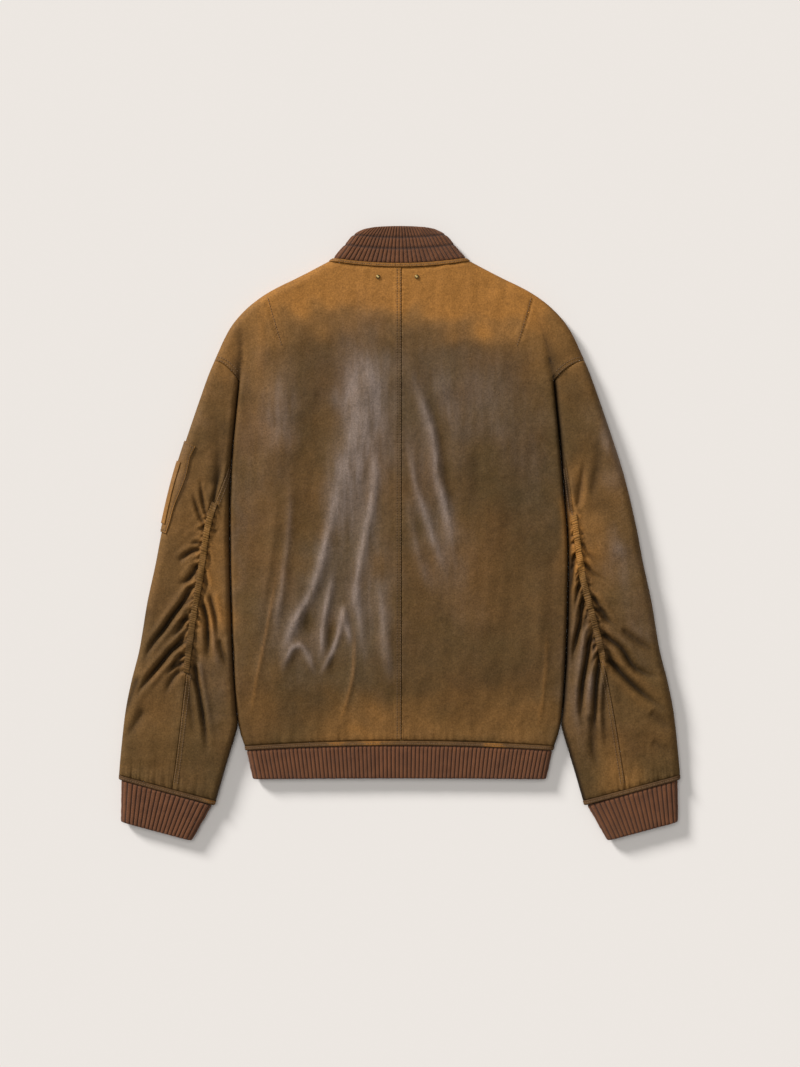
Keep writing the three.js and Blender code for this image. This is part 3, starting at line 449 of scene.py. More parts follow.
def shellPiece(name, grid, wall, outward, material, relief=None, pinch=None, wrap=False,
               first=None, last=None, layers=None, uv=None):
    # a closed wall: the outer grid pushed in by `relief`, the same grid moved in by the wall, and
    # rims. `pinch` (0 to 1 for each row) draws the two faces together to round off an end.
    rows, cols = grid.shape[:2]
    normals = gridNormals(grid, outward, first, last, wrap)
    drawIn = np.zeros((rows, 1, 1)) if pinch is None else 0.45 * wall * pinch[:, None, None]
    sunk = 0 if relief is None else relief[:, :, None]
    outer = grid - normals * (drawIn + sunk)
    inner = grid - normals * (wall - drawIn)
    ids = np.arange(rows * cols).reshape(rows, cols)
    if wrap:
        ids = np.hstack([ids, ids[:, :1]])
    a, b, c, d = ids[:-1, :-1], ids[:-1, 1:], ids[1:, 1:], ids[1:, :-1]
    outerFaces = np.stack([a, b, c, d], axis=-1).reshape(-1, 4)
    size = rows * cols
    faces = [outerFaces, (outerFaces + size)[:, ::-1]]
    top, bottom = ids[0], ids[-1]
    rims = [np.stack([top[1:], top[:-1], top[:-1] + size, top[1:] + size], axis=-1),
            np.stack([bottom[:-1], bottom[1:], bottom[1:] + size, bottom[:-1] + size], axis=-1)]
    if not wrap:
        start, end = ids[:, 0], ids[:, -1]
        rims += [np.stack([start[:-1], start[1:], start[1:] + size, start[:-1] + size], axis=-1),
                 np.stack([end[1:], end[:-1], end[:-1] + size, end[1:] + size], axis=-1)]
    count = 2 * len(outerFaces)
    faces = np.vstack(faces + rims)
    if outward < 0:
        faces = faces[:, ::-1]
    points = np.concatenate([outer.reshape(-1, 3), inner.reshape(-1, 3)])
    doubled = {key: np.concatenate([values.ravel(), values.ravel()])
               for key, values in (layers or {}).items()}
    hardEdges = np.arange(count, len(faces)) if pinch is None else None
    coords = None if uv is None else np.concatenate([uv.reshape(-1, 2)] * 2)
    return meshPiece(name, points, faces, material, hardEdges, doubled, coords)


# ---- thread ----
threads = {"body": [], "sleeves": [], "pocket": []}


def stitchRow(group, line, up, pitch=3.6, length=2.7, radius=0.42):
    # short spindles along a line: each is three rings of six points, thin at both ends
    line = np.asarray(line)
    steps = np.linalg.norm(np.diff(line, axis=0), axis=1)
    along = np.append(0, np.cumsum(steps))
    count = int(along[-1] / pitch)
    if count < 1:
        return
    middle = (np.arange(count) + 0.5) * along[-1] / count
    at = lambda s: np.stack([np.interp(s, along, line[:, k]) for k in range(3)], axis=1)
    centre = at(middle)
    forward = at(middle + 0.4) - at(middle - 0.4)
    forward /= np.linalg.norm(forward, axis=1, keepdims=True)
    lift = np.stack([np.interp(middle, along, up[:, k]) for k in range(3)], axis=1)
    sideways = np.cross(forward, lift)
    sideways /= np.linalg.norm(sideways, axis=1, keepdims=True)
    lift = np.cross(sideways, forward)
    stations = np.array([-0.5, -0.32, 0.32, 0.5]) * length
    thick = np.array([0.35, 1, 1, 0.35]) * radius
    sink = np.array([-0.5, 0, 0, -0.5]) * radius
    angles = np.arange(6) * math.pi / 3
    ring = (np.cos(angles)[None, :, None] * sideways[:, None, None, :]
            + np.sin(angles)[None, :, None] * lift[:, None, None, :])
    points = (centre[:, None, None, :] + forward[:, None, None, :] * stations[None, :, None, None]
              + ring * thick[None, :, None, None]
              + lift[:, None, None, :] * (sink + 0.1)[None, :, None, None])
    ids = np.arange(24).reshape(4, 6)
    nxt = np.roll(ids, -1, axis=1)
    sides = np.stack([ids[:-1], ids[1:], nxt[1:], nxt[:-1]], axis=-1).reshape(-1, 4)
    ends = np.array([[0, 1, 2, 3], [0, 3, 4, 5], [21, 20, 19, 18], [23, 22, 21, 18]])
    faces = np.vstack([sides, ends])
    threads[group].append((points.reshape(-1, 24, 3), faces))


def finishThread(group, name, material, body):
    # one mesh of every stitch in the group
    points = np.concatenate([p for p, _ in threads[group]])
    faces = threads[group][0][1]
    allFaces = (faces[None] + 24 * np.arange(len(points))[:, None, None]).reshape(-1, 4)
    piece = meshPiece(name, points.reshape(-1, 3), allFaces, material)
    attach(piece, body)
    return piece


def topLine(half, x, y, lift=0.25):
    # a line laid on the back's top face, with the face's own upward direction
    z = backHeight(half, x, y)
    step = 0.8
    slopeX = (backHeight(half, x + step, y) - backHeight(half, x - step, y)) / (2 * step)
    slopeY = (backHeight(half, x, y + step) - backHeight(half, x, y - step)) / (2 * step)
    up = np.stack([-half["side"] * slopeX, -slopeY, np.ones(x.shape)], axis=1)
    up /= np.linalg.norm(up, axis=1, keepdims=True)
    return np.stack([half["side"] * x, y, z + lift], axis=1), up


# ---- colour patches ----
# Soft ellipses on the plan: centre, half widths, turn in degrees and strength.
tanPatches = [
    (-130, 326, 110, 46, 10, 0.9), (0, 345, 130, 56, 0, 1.0), (128, 320, 110, 48, -10, 1.0),
    (110, 300, 80, 36, -8, 0.35), (-186, 240, 40, 90, 0, 0.3), (192, 240, 40, 80, 0, 0.25),
    (-240, 236, 26, 50, -10, 0.5), (240, 236, 26, 50, 10, 0.25),
    (60, -262, 130, 40, 0, 0.5), (170, -250, 50, 50, 0, 0.25), (-60, -268, 50, 40, 0, 0.6),
    (-190, -240, 30, 70, 10, 0.28), (110, -60, 80, 90, 20, 0.2), (-190, 60, 34, 150, 0, 0.25),
    (-120, 60, 24, 130, -10, 0.18), (-20, 0, 20, 150, 0, 0.12),
    (-256, -30, 26, 90, 6, 0.45), (-240, -110, 24, 50, 0, 0.4), (-300, 190, 26, 60, 20, 0.3),
    (-308, 40, 30, 60, -12, 0.3), (-330, -250, 44, 70, 0, 0.25), (-320, -60, 40, 60, 0, 0.15),
    (236, 20, 14, 60, -5, 0.8), (248, -30, 18, 50, -8, 0.7), (276, -50, 20, 40, 0, 0.15),
    (296, -330, 20, 50, 12, 0.5), (300, 60, 30, 90, -8, 0.2), (340, -250, 40, 60, 0, 0.12),
]
# where the wax lies: a glossier finish and a painted greyish sheen in the colour
waxAndPaintedSheenPatches = [
    (-48, 190, 40, 90, 0, 1.05), (-66, 50, 40, 110, -14, 0.75), (-116, -120, 56, 70, -30, 0.6),
    (-40, -80, 30, 110, 0, 0.6), (-160, 160, 34, 80, 0, 0.45), (-200, 80, 18, 110, 0, 0.3),
    (62, 200, 40, 70, 10, 0.5), (130, 190, 44, 60, 0, 0.35), (44, 80, 26, 100, 14, 0.5),
    (60, -30, 30, 70, 14, 0.45), (180, 90, 30, 90, 0, 0.25), (292, 130, 20, 80, 14, 0.55),
    (299, -40, 22, 36, 14, 0.5), (-296, 130, 18, 70, -14, 0.3), (-222, -20, 10, 100, 0, 0.3),
    (-250, -190, 26, 60, 0, 0.3), (245, -200, 24, 80, 0, 0.4), (330, -120, 30, 50, 30, 0.3),
]


def patchField(patches, x, y):
    # sum of turned oval bells, each its strength times exp(-(u^2 + v^2)), held between 0 and 1.2
    total = np.zeros(x.shape)
    for cx, cy, rx, ry, turn, strength in patches:
        c, s = math.cos(math.radians(turn)), math.sin(math.radians(turn))
        u, v = ((x - cx) * c + (y - cy) * s) / rx, ((y - cy) * c - (x - cx) * s) / ry
        total += strength * np.exp(-(u * u + v * v))
    return np.clip(total, 0, 1.2)


def leatherLayers(x, y, rub=0.0, valley=0.0, tanBase=0.0, crest=0.0, paintedCrestHighlight=0.0):
    # tan: dye rubbed away; the sheen mask: wax gloss plus a painted greyish sheen, strongest along the
    # crests; the shade mask: painted shade, with some soiling, in folds, troughs, valleys and along edges
    drift = 9 * waves(x, y, 46, 31), 9 * waves(x, y, 46, 33)
    u, v = x + drift[0], y + drift[1]
    return dict(
        tan=np.clip(patchField(tanPatches, u, v) + tanBase + rub, 0, 1.2),
        waxAndPaintedSheen=np.clip(patchField(waxAndPaintedSheenPatches, u, v) * (0.42 + 0.24 * np.clip(crest, -1.4, 4)) + paintedCrestHighlight, 0, 1.2),
        foldDirtAndPaintedShade=np.clip(valley + np.zeros(x.shape), 0, 1),
    )


# ---- materials ----
def hexColour(text):
    # sRGB hex to linear
    c = np.array([int(text[k:k + 2], 16) / 255 for k in (1, 3, 5)])
    linear = np.where(c <= 0.04045, c / 12.92, ((c + 0.055) / 1.055) ** 2.4)
    return (*linear, 1.0)


def addNode(material, kind, inputs=None, **settings):
    # one node with its settings; an input is a value or another node's output
    node = material.node_tree.nodes.new(kind)
    for key, value in settings.items():
        setattr(node, key, value)
    for key, value in (inputs or {}).items():
        if isinstance(value, bpy.types.NodeSocket):
            material.node_tree.links.new(value, node.inputs[key])
        else:
            node.inputs[key].default_value = value
    return node


def newMaterial(name):
    # a material and its main shader
    material = bpy.data.materials.new(name)
    material.use_nodes = True
    return material, material.node_tree.nodes["Principled BSDF"]


def blendColour(material, factor, a, b, mode="MIX"):
    # one colour laid over another
    return addNode(material, "ShaderNodeMix", {0: factor, 6: a, 7: b}, data_type="RGBA",
                   blend_type=mode).outputs[2]


def between(material, value, low, high, fromLow=0.0, fromHigh=1.0):
    # the value's own range spread over low to high, and held at both ends
    spread = {"Value": value, "From Min": fromLow, "From Max": fromHigh, "To Min": low, "To Max": high}
    return addNode(material, "ShaderNodeMapRange", spread).outputs[0]


def wornLeather(name, look):
    # Drum-dyed nappa, hand-rubbed and waxed: a satin face with a fine pebble, brown where the dye is whole,
    # orange tan where it is rubbed off, a painted greyish sheen where the wax lies, and painted shade in the
    # folds.
    material, shader = newMaterial(name)
    place = addNode(material, "ShaderNodeTexCoord").outputs["Object"]
    mask = {key: addNode(material, "ShaderNodeAttribute", attribute_name=key).outputs["Fac"]
            for key in ("tan", "waxAndPaintedSheen", "foldDirtAndPaintedShade")}

    def noise(size, detail=3.0, rough=0.55):
        inputs = {"Vector": place, "Scale": 1 / (size * mm), "Detail": detail, "Roughness": rough}
        return addNode(material, "ShaderNodeTexNoise", inputs).outputs["Fac"]

    def broken(value, by, amount, low, high):
        # a mask pushed about by noise, then stretched between low and high
        shifted = addNode(material, "ShaderNodeMath", {0: by, 1: amount, 2: value},
                          operation="MULTIPLY_ADD").outputs[0]
        inputs = {"Value": shifted, "From Min": low + amount / 2, "From Max": high + amount / 2}
        return addNode(material, "ShaderNodeMapRange", inputs).outputs[0]

    cloud, mottle, speck = noise(34), noise(6, 5.0, 0.7), noise(2.2, 3.0, 0.75)
    tan = broken(mask["tan"], cloud, 0.14, 0.0, 1.05)
    waxAndPaintedSheen = broken(mask["waxAndPaintedSheen"], mottle, 0.2, 0.0, 1.0)
    rust = broken(mask["tan"], mottle, 0.4, 0.75, 1.5)
    warmth = between(material, noise(80, 3.0), 0.0, 0.6, 0.35, 0.7)
    colour = blendColour(material, warmth, hexColour(look["brown"]), hexColour(look["warm"]))
    colour = blendColour(material, tan, colour, hexColour(look["tan"]))
    colour = blendColour(material, rust, colour, hexColour(look["rust"]))
    # painted sheen: the colour is blended towards a pale greyish tone, in streaks, where the sheen mask lies
    streak = addNode(material, "ShaderNodeMapping", {"Vector": place, "Scale": (1.0, 0.16, 1.0)}).outputs[0]
    sheenStreaks = addNode(material, "ShaderNodeTexNoise",
                    {"Vector": streak, "Scale": 1 / (9 * mm), "Detail": 3.0, "Roughness": 0.6}).outputs["Fac"]
    sheenStreaks = between(material, sheenStreaks, 0.55, 1.15, 0.32, 0.68)
    waxAndPaintedSheen = addNode(material, "ShaderNodeMath", {0: waxAndPaintedSheen, 1: sheenStreaks}, operation="MULTIPLY").outputs[0]
    paintedSheenAmount = addNode(material, "ShaderNodeMath", {0: waxAndPaintedSheen, 1: look["paintedSheenAmount"]}, operation="MULTIPLY").outputs[0]
    colour = blendColour(material, paintedSheenAmount, colour, hexColour(look["waxAndPaintedSheen"]))
    clouded = between(material, cloud, 0.92, 1.07, 0.3, 0.7)
    mottled = between(material, mottle, 0.88, 1.12, 0.3, 0.7)
    specked = between(material, speck, 0.7, 1.3, 0.3, 0.7)
    shade = addNode(material, "ShaderNodeMath", {0: clouded, 1: mottled}, operation="MULTIPLY").outputs[0]
    shade = addNode(material, "ShaderNodeMath", {0: shade, 1: specked}, operation="MULTIPLY").outputs[0]
    # painted shade, with some soiling: the colour is darkened down to 0.16 of itself
    paintedShadeAndDirt = between(material, mask["foldDirtAndPaintedShade"], 1.0, 0.16)
    shade = addNode(material, "ShaderNodeMath", {0: shade, 1: paintedShadeAndDirt}, operation="MULTIPLY").outputs[0]
    tint = addNode(material, "ShaderNodeCombineColor", {0: shade, 1: shade, 2: shade}).outputs[0]
    colour = blendColour(material, 1.0, colour, tint, "MULTIPLY")
    material.node_tree.links.new(colour, shader.inputs["Base Color"])
    gloss = between(material, waxAndPaintedSheen, look["matte"], look["gloss"])
    wobble = between(material, mottle, -0.05, 0.06, 0.3, 0.7)
    gloss = addNode(material, "ShaderNodeMath", {0: gloss, 1: wobble}, operation="ADD").outputs[0]
    material.node_tree.links.new(gloss, shader.inputs["Roughness"])
    # pebble grain about 1.5 mm across, drawn a little coarser than real so that it shows
    cells = addNode(material, "ShaderNodeTexVoronoi",
                    {"Vector": place, "Scale": 1 / (1.5 * mm), "Randomness": 1.0},
                    feature="SMOOTH_F1").outputs["Distance"]
    grain = addNode(material, "ShaderNodeMath", {0: speck, 1: cells}, operation="SUBTRACT").outputs[0]
    fine = addNode(material, "ShaderNodeBump",
                   {"Height": grain, "Strength": 0.32, "Distance": 0.35 * mm}).outputs[0]
    broad = addNode(material, "ShaderNodeBump",
                    {"Height": mottle, "Strength": 0.35, "Distance": 1.1 * mm, "Normal": fine}).outputs[0]
    material.node_tree.links.new(broad, shader.inputs["Normal"])
    shader.inputs["IOR"].default_value = 1.48
    waxed = between(material, waxAndPaintedSheen, look["dry"], look["waxed"])
    material.node_tree.links.new(waxed, shader.inputs["Specular IOR Level"])
    return material


def ribKnit(name, look):
    # Two-ply wool rib: matte and reddish brown, near black between the ribs as painted shade and paler on
    # the crests, with small V stitches 2 mm tall running up each rib.
    material, shader = newMaterial(name)
    place = addNode(material, "ShaderNodeTexCoord").outputs["Object"]
    uv = addNode(material, "ShaderNodeUVMap", uv_map="cut").outputs[0]
    crest = addNode(material, "ShaderNodeAttribute", attribute_name="crest").outputs["Fac"]
    split = addNode(material, "ShaderNodeSeparateXYZ", {0: uv})
    # the V: along the rib plus the distance from the rib's middle, in stitch heights
    across = addNode(material, "ShaderNodeMath", {0: split.outputs[0], 1: 0.5},
                     operation="PINGPONG").outputs[0]
    lean = addNode(material, "ShaderNodeMath", {0: across, 1: 5.0, 2: split.outputs[1]},
                   operation="MULTIPLY_ADD").outputs[0]
    turns = addNode(material, "ShaderNodeMath", {0: lean, 1: 2 * math.pi / look["stitch"]},
                    operation="MULTIPLY").outputs[0]
    vee = addNode(material, "ShaderNodeMath", {0: turns}, operation="SINE").outputs[0]
    fuzz = addNode(material, "ShaderNodeTexNoise",
                   {"Vector": place, "Scale": 1 / (1.2 * mm), "Detail": 3.0, "Roughness": 0.7}).outputs["Fac"]
    cloud = addNode(material, "ShaderNodeTexNoise",
                    {"Vector": place, "Scale": 1 / (22 * mm), "Detail": 2.0}).outputs["Fac"]
    # painted shade: near black between the ribs, the yarn's brown on the crests
    colour = blendColour(material, crest, hexColour(look["valley"]), hexColour(look["crest"]))
    light = between(material, fuzz, 0.72, 1.28, 0.3, 0.7)
    broad = between(material, cloud, 0.88, 1.12, 0.3, 0.7)
    stitch = between(material, vee, 0.8, 1.16, -1.0)
    shade = addNode(material, "ShaderNodeMath", {0: light, 1: broad}, operation="MULTIPLY").outputs[0]
    shade = addNode(material, "ShaderNodeMath", {0: shade, 1: stitch}, operation="MULTIPLY").outputs[0]
    tint = addNode(material, "ShaderNodeCombineColor", {0: shade, 1: shade, 2: shade}).outputs[0]
    colour = blendColour(material, 1.0, colour, tint, "MULTIPLY")
    material.node_tree.links.new(colour, shader.inputs["Base Color"])
    yarn = addNode(material, "ShaderNodeMath", {0: vee, 1: 0.5, 2: fuzz}, operation="MULTIPLY_ADD").outputs[0]
    bump = addNode(material, "ShaderNodeBump",
                   {"Height": yarn, "Strength": 0.6, "Distance": 0.5 * mm}).outputs[0]
    material.node_tree.links.new(bump, shader.inputs["Normal"])
    shader.inputs["Roughness"].default_value = 0.92
    shader.inputs["Sheen Weight"].default_value = 0.06
    shader.inputs["Sheen Roughness"].default_value = 0.6
    return material


def spunThread(name, shade):
    # waxed polyester thread, three-ply: a soft gloss along a dark brown strand
    material, shader = newMaterial(name)
    place = addNode(material, "ShaderNodeTexCoord").outputs["Object"]
    twist = addNode(material, "ShaderNodeTexNoise",
                    {"Vector": place, "Scale": 1 / (0.9 * mm), "Detail": 1.0}).outputs["Fac"]
    colour = blendColour(material, twist, hexColour(shade[0]), hexColour(shade[1]))
    material.node_tree.links.new(colour, shader.inputs["Base Color"])
    shader.inputs["Roughness"].default_value = 0.6
    return material


def agedBrass(name):
    # antiqued brass: browned in the low places, brighter where it is handled
    material, shader = newMaterial(name)
    place = addNode(material, "ShaderNodeTexCoord").outputs["Object"]
    tarnish = addNode(material, "ShaderNodeTexNoise",
                      {"Vector": place, "Scale": 1 / (2.5 * mm), "Detail": 3.0}).outputs["Fac"]
    colour = blendColour(material, tarnish, hexColour("#6e5a38"), hexColour("#a8925e"))
    material.node_tree.links.new(colour, shader.inputs["Base Color"])
    rough = between(material, tarnish, 0.5, 0.28)
    material.node_tree.links.new(rough, shader.inputs["Roughness"])
    shader.inputs["Metallic"].default_value = 1.0
    return material


def wovenTape(name):
    # herringbone polyester tape, 0.6 mm yarns
    material, shader = newMaterial(name)
    place = addNode(material, "ShaderNodeTexCoord").outputs["Object"]
    weave = addNode(material, "ShaderNodeTexWave",
                    {"Vector": place, "Scale": 1 / (3.0 * mm), "Distortion": 1.5},
                    bands_direction="DIAGONAL").outputs["Fac"]
    colour = blendColour(material, weave, hexColour("#2a1f17"), hexColour("#43342a"))
    material.node_tree.links.new(colour, shader.inputs["Base Color"])
    bump = addNode(material, "ShaderNodeBump",
                   {"Height": weave, "Strength": 0.4, "Distance": 0.2 * mm}).outputs[0]
    material.node_tree.links.new(bump, shader.inputs["Normal"])
    shader.inputs["Roughness"].default_value = 0.85
    return material


def papered(name):
    # matte studio paper
    material, shader = newMaterial(name)
    shader.inputs["Base Color"].default_value = hexColour("#e2ddd8")
    shader.inputs["Roughness"].default_value = 0.95
    shader.inputs["Specular IOR Level"].default_value = 0.1
    return material


# the greyish colour and its amount make the painted sheen; gloss, matte, dry and waxed set the real finish
leatherLook = dict(brown="#4d3b20", warm="#553b1f", tan="#8a6030", rust="#98652b", waxAndPaintedSheen="#85746a", paintedSheenAmount=0.66,
                   gloss=0.54, matte=0.7, dry=0.12, waxed=0.26)
materials = dict(
    leather=wornLeather("wornNappaLeather", leatherLook),
    edge=wornLeather("scuffedBindingLeather",
                     dict(leatherLook, brown="#463220", tan="#6c4e2c", paintedSheenAmount=0.2, gloss=0.5, matte=0.6)),
    rubbed=wornLeather("rubbedGatheredLeather",
                       dict(leatherLook, brown="#513c20", tan="#87602f", paintedSheenAmount=0.1, gloss=0.5, matte=0.6)),
    # the knit's valley colour is painted shade between the ribs
    knit=ribKnit("woolRibKnit", dict(crest="#63391a", valley="#1c0d05", stitch=2.2)),
    thread=spunThread("waxedThread", ("#4a3521", "#7a5c3c")),
    brass=agedBrass("antiqueBrass"),
    tape=wovenTape("wovenZipTape"),
    paper=papered("studioPaper"),
)
print("materials made")

laidOn = ["studioFloor"]


def finishPiece(piece, nodes, body="jacket"):
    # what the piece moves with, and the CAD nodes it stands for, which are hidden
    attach(piece, body)
    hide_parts(*nodes)
    return piece


# ---- body panels ----
seamSteps = np.array([0, 0.3, 0.7, 1.1, 1.6, 2.1, 2.7, 3.4, 4.2, 5.0, 5.8, 6.6, 7.6, 8.8, 10.2])


def panelPlan(half, startX, neckY, rowCounts, flatSteps, angles, seam=seamSteps):
    # rows run from the centre line to the boundary, and bend up or down to meet it
    fold = half["fold"]
    foldRows, armRows, shoulderRows = rowCounts
    low = (fold[np.linspace(0, len(fold) - 1, foldRows + 1).round().astype(int)] if foldRows <= 120
           else curveThrough(fold[::6], foldRows))
    arm = armholePoint(half, np.arange(1, armRows + 1) / armRows)
    top = curveThrough(half["shoulder"][::-10], shoulderRows)[1:]
    end = np.vstack([low, arm, top])
    startY = garment["hemY"] + (neckY - garment["hemY"]) * (end[:, 1] - end[0, 1]) / (end[-1, 1] - end[0, 1])
    tangent = np.gradient(end, axis=0)
    sine = np.maximum(0.45, np.abs(tangent[:, 1]) / np.hypot(*tangent.T))
    sine = np.convolve(np.pad(sine, 15, mode="edge"), np.full(31, 1 / 31), mode="valid")
    length = (end[:, 0] - startX)[:, None]
    reach = garment["edgeRadius"] / sine[:, None]
    near = seam[None, :] / length
    flat = mix((seam[-1] + 1.8) / length, 1 - reach / length,
               np.linspace(0, 1, flatSteps, endpoint=False)[None, :])
    curl = 1 - reach / length * (1 - np.sin(np.linspace(0, math.pi / 2, angles))[None, :])
    w = np.hstack([near, flat, curl])
    x = startX + (end[:, :1] - startX) * w
    y = startY[:, None] + (end[:, 1:] - startY[:, None]) * w ** 2
    onArm = (np.arange(len(end)) >= foldRows) & (np.arange(len(end)) < foldRows + armRows)
    return x, y, onArm


def makeBack(half):
    g = garment
    name = half["name"]
    x, y, onArm = panelPlan(half, half["centre"] + 0.12, g["neckBackY"], (184, 17, 79), 72, 10)
    grid = np.stack([half["side"] * x, y, backHeight(half, x, y)], axis=-1)
    creased, rub, dark, paintedCrestHighlight = creaseField(backCreases, half["side"] * x, y)
    toValley, _, outer = nearest(half["valley"], x, y)
    beyond = (outer < 0) * ease((y - 200) / 14) * ease((312 - y) / 90)
    # painted shade: in the valley beside the sleeve, stronger on the right half; a faint dark line on the
    # centre seam; in the crease troughs; and past the valley up the shoulder
    paintedShadeAndDirt = ((0.7 if half["side"] > 0 else 0.3) * bell(toValley, 2) * valleyDepth(y)
            + 0.08 * bell(x - half["centre"], 0.7) + 0.2 * dark)
    paintedShadeAndDirt += 0.55 * bell(toValley - 2, 8) * beyond
    layers = leatherLayers(half["side"] * x, y, rub, paintedShadeAndDirt, 0, creased, paintedCrestHighlight)
    piece = shellPiece("back" + name.capitalize(), grid, g["leather"], half["side"], materials["leather"],
                       last=(~onArm, -1), layers=layers)
    finishPiece(piece, ["back_" + name])
    # topstitching: two rows left of the centre seam, one beside the dart, and two beside the armhole seam
    line = np.linspace(g["hemY"] + 1.5, g["neckBackY"] - 1.5, 420)
    if half["side"] < 0:
        for offset in (1.8, 6.2):
            stitchRow("body", *topLine(half, half["centre"] + offset + 0 * line, line))
    dart = curveThrough(outlines["dart"], 60)
    stitchRow("body", *topLine(half, dart[2:, 0] - 2.0, dart[2:, 1]))
    seam = armholePoint(half, np.linspace(0.14, 0.95, 40))
    for offset in (1.8, 6.2):
        stitchRow("body", *topLine(half, seam[:, 0] - 0.58 * offset, seam[:, 1] + 0.81 * offset))
    return piece


def makeFront(half):
    g = garment
    name = half["name"]
    steps = np.array([0, 2, 4.5, 7, 10])
    x, y, onArm = panelPlan(half, half["centre"] + g["slit"], g["neckFrontY"], (84, 8, 34), 26, 7, steps)
    grid = np.stack([half["side"] * x, y, frontHeight(half, x, y)], axis=-1)
    layers = leatherLayers(half["side"] * x, y, 0, 0, 0.25)
    upright = ~onArm & ((y[:, -1] < g["underarmY"] - 24) | (np.arange(len(y)) > 91))
    piece = shellPiece("front" + name.capitalize(), grid, g["leather"], -half["side"], materials["leather"],
                       last=(upright, 1), layers=layers)
    finishPiece(piece, ["front_" + name])
    return piece


# ---- sleeves ----
pocketLook = dict(rows=90, start=0.2, stop=0.42, under=44, wall=1.6, lift=2.9,
                  edge=[(283, 103), (289, 76), (303, 40), (310, 15), (316.5, -4)])
ruche = dict(left=(40, -185), right=(22, -168))     # y where the gathers start and stop
tapeLook = dict(width=8, wall=1.2, lift=0.7, span=dict(left=(0.305, 0.722), right=(0.325, 0.69)))


def alongLine(line, v):
    # the place at share v (0 to 1) of a line's points
    t = np.linspace(0, 1, len(line))
    return np.stack([np.interp(v, t, line[:, 0]), np.interp(v, t, line[:, 1])], axis=-1)


def sleeveStations(half, v):
    # each station runs from the outer edge o to the inner edge n
    o, n = alongLine(half["outer"], v), alongLine(half["inner"], v)
    gap = 0.2 * (1 - ease(v * 20))
    o[..., 1] -= gap
    n[..., 1] -= gap
    return dict(v=v, o=o, n=n, width=np.hypot(*(o - n).T))


def underarmOf(half):
    # the share of the sleeve at which its inner edge passes the underarm
    v = np.linspace(0, 0.4, 2001)
    return float(v[np.argmax(alongLine(half["inner"], v)[:, 1] < garment["underarmY"])])


def insetOf(m, radius):
    # plan distance in from an edge for a length m along the surface, from its outermost line
    m = np.abs(m)
    turn = garment["turn"]
    return np.where(m >= turn, radius + m - turn,
                    radius * (1 - np.cos(np.clip(m / turn, 0, 1) * math.pi / 2)))


def lengthOf(inset, radius):
    # length over the surface from the edge to a place `inset` inside it, round the curled edge
    turn = garment["turn"]
    curled = np.arccos(np.clip(1 - inset / radius, -1, 1)) / (math.pi / 2) * turn
    return np.where(inset >= radius, turn + inset - radius, curled)


def insetOfLine(line, s, side):
    # how far in from the inner edge each station crosses a line on the plan
    local = line * (side, 1)
    direction = (s["o"] - s["n"]) / s["width"][:, None]
    off = local[None] - s["n"][:, None]
    across = np.abs(off[..., 0] * direction[:, None, 1] - off[..., 1] * direction[:, None, 0])
    hit = across.argmin(axis=1)
    picked = off[np.arange(len(hit)), hit]
    return (picked * direction).sum(axis=1)


def seamLength(half, s):
    # length over the surface from the inner edge to the elbow seam, and 0 above the underarm
    start = np.clip((s["v"] - underarmOf(half)) / 0.05, 0, 1)
    inset = np.maximum(insetOfLine(half["elbow"], s, half["side"]), 0.5) * start
    return np.where(start > 0, lengthOf(np.maximum(inset, 0.02), garment["valleyRadius"]), 0)


def sleevePlan(s, fromOuter):
    # straight across from the outer edge to the inner one, with the armhole's bow fading below it
    t = fromOuter / s["width"][:, None]
    p = s["o"][:, None] * (1 - t)[..., None] + s["n"][:, None] * t[..., None]
    bow = garment["armholeBow"] * 4 * t * (1 - t) * (1 - ease(s["v"] * 8))[:, None]
    return p[..., 0], p[..., 1] + bow


def gatherFolds(half):
    # folds that leave the gathered seam on both sides and sweep down; the lower ones run longer
    rng = np.random.default_rng(90 + half["side"])
    first, last = ruche[half["name"]]
    y = half["elbow"][:, 1]
    start, stop = np.argmax(y < first), np.argmax(y < last)
    folds = []
    for outward, count, turns, longest in ((1, 19, (8, 46), 34), (-1, 19, (34, 74), 32)):
        places = np.linspace(0.02, 1, count) + rng.uniform(-0.022, 0.022, count)
        for place in places:
            a = half["elbow"][int(start + np.clip(place, 0, 1) * (stop - start))]
            long = rng.uniform(0.3, 1) * mix(14, longest, place)
            turnsNow = np.radians(np.linspace(*turns, 4) + rng.uniform(-9, 9) + 8 * place)
            steps = np.stack([outward * half["side"] * np.cos(turnsNow), -np.sin(turnsNow)], axis=1)
            path = np.vstack([a, a + np.cumsum(steps * long / 4, axis=0)])
            depth = rng.uniform(1.8, 3.4)
            folds.append(dict(path=path, height=-depth, width=1.5 + 0.03 * long, shoulder=0.4, rub=0.15))
    return drawn(folds)


def gatherField(half, x, y):
    # puckers that leave the elbow seam, sweep down and outwards, and merge as they go
    first, last = ruche[half["name"]]
    d, along, side = nearest(half["elbow"][::4], half["side"] * x, y)
    s = along * half["elbowLength"]
    outside = side * half["side"] < 0
    window = ease((first + 14 - y) / 30) * ease((y - last + 14) / 30)
    slant = np.where(outside, 0.75, 1.7)
    total = np.zeros(x.shape)
    wander = 4 * waves(x, y, 55, 41 + half["side"]) + 1.6 * waves(x, y, 18, 47 + half["side"])
    for pitch, height, reach, swing, seed in ((5.2, 1.4, 8, 0.35, 1.0), (13, 0.8, 16, 0.7, 2.2)):
        phase = s - slant * swing * d + wander
        total += height * puckerWave(phase, pitch, seed) * np.exp(-(d / reach) ** 1.5)
    return window * total, window * bell(d, 26), d, outside


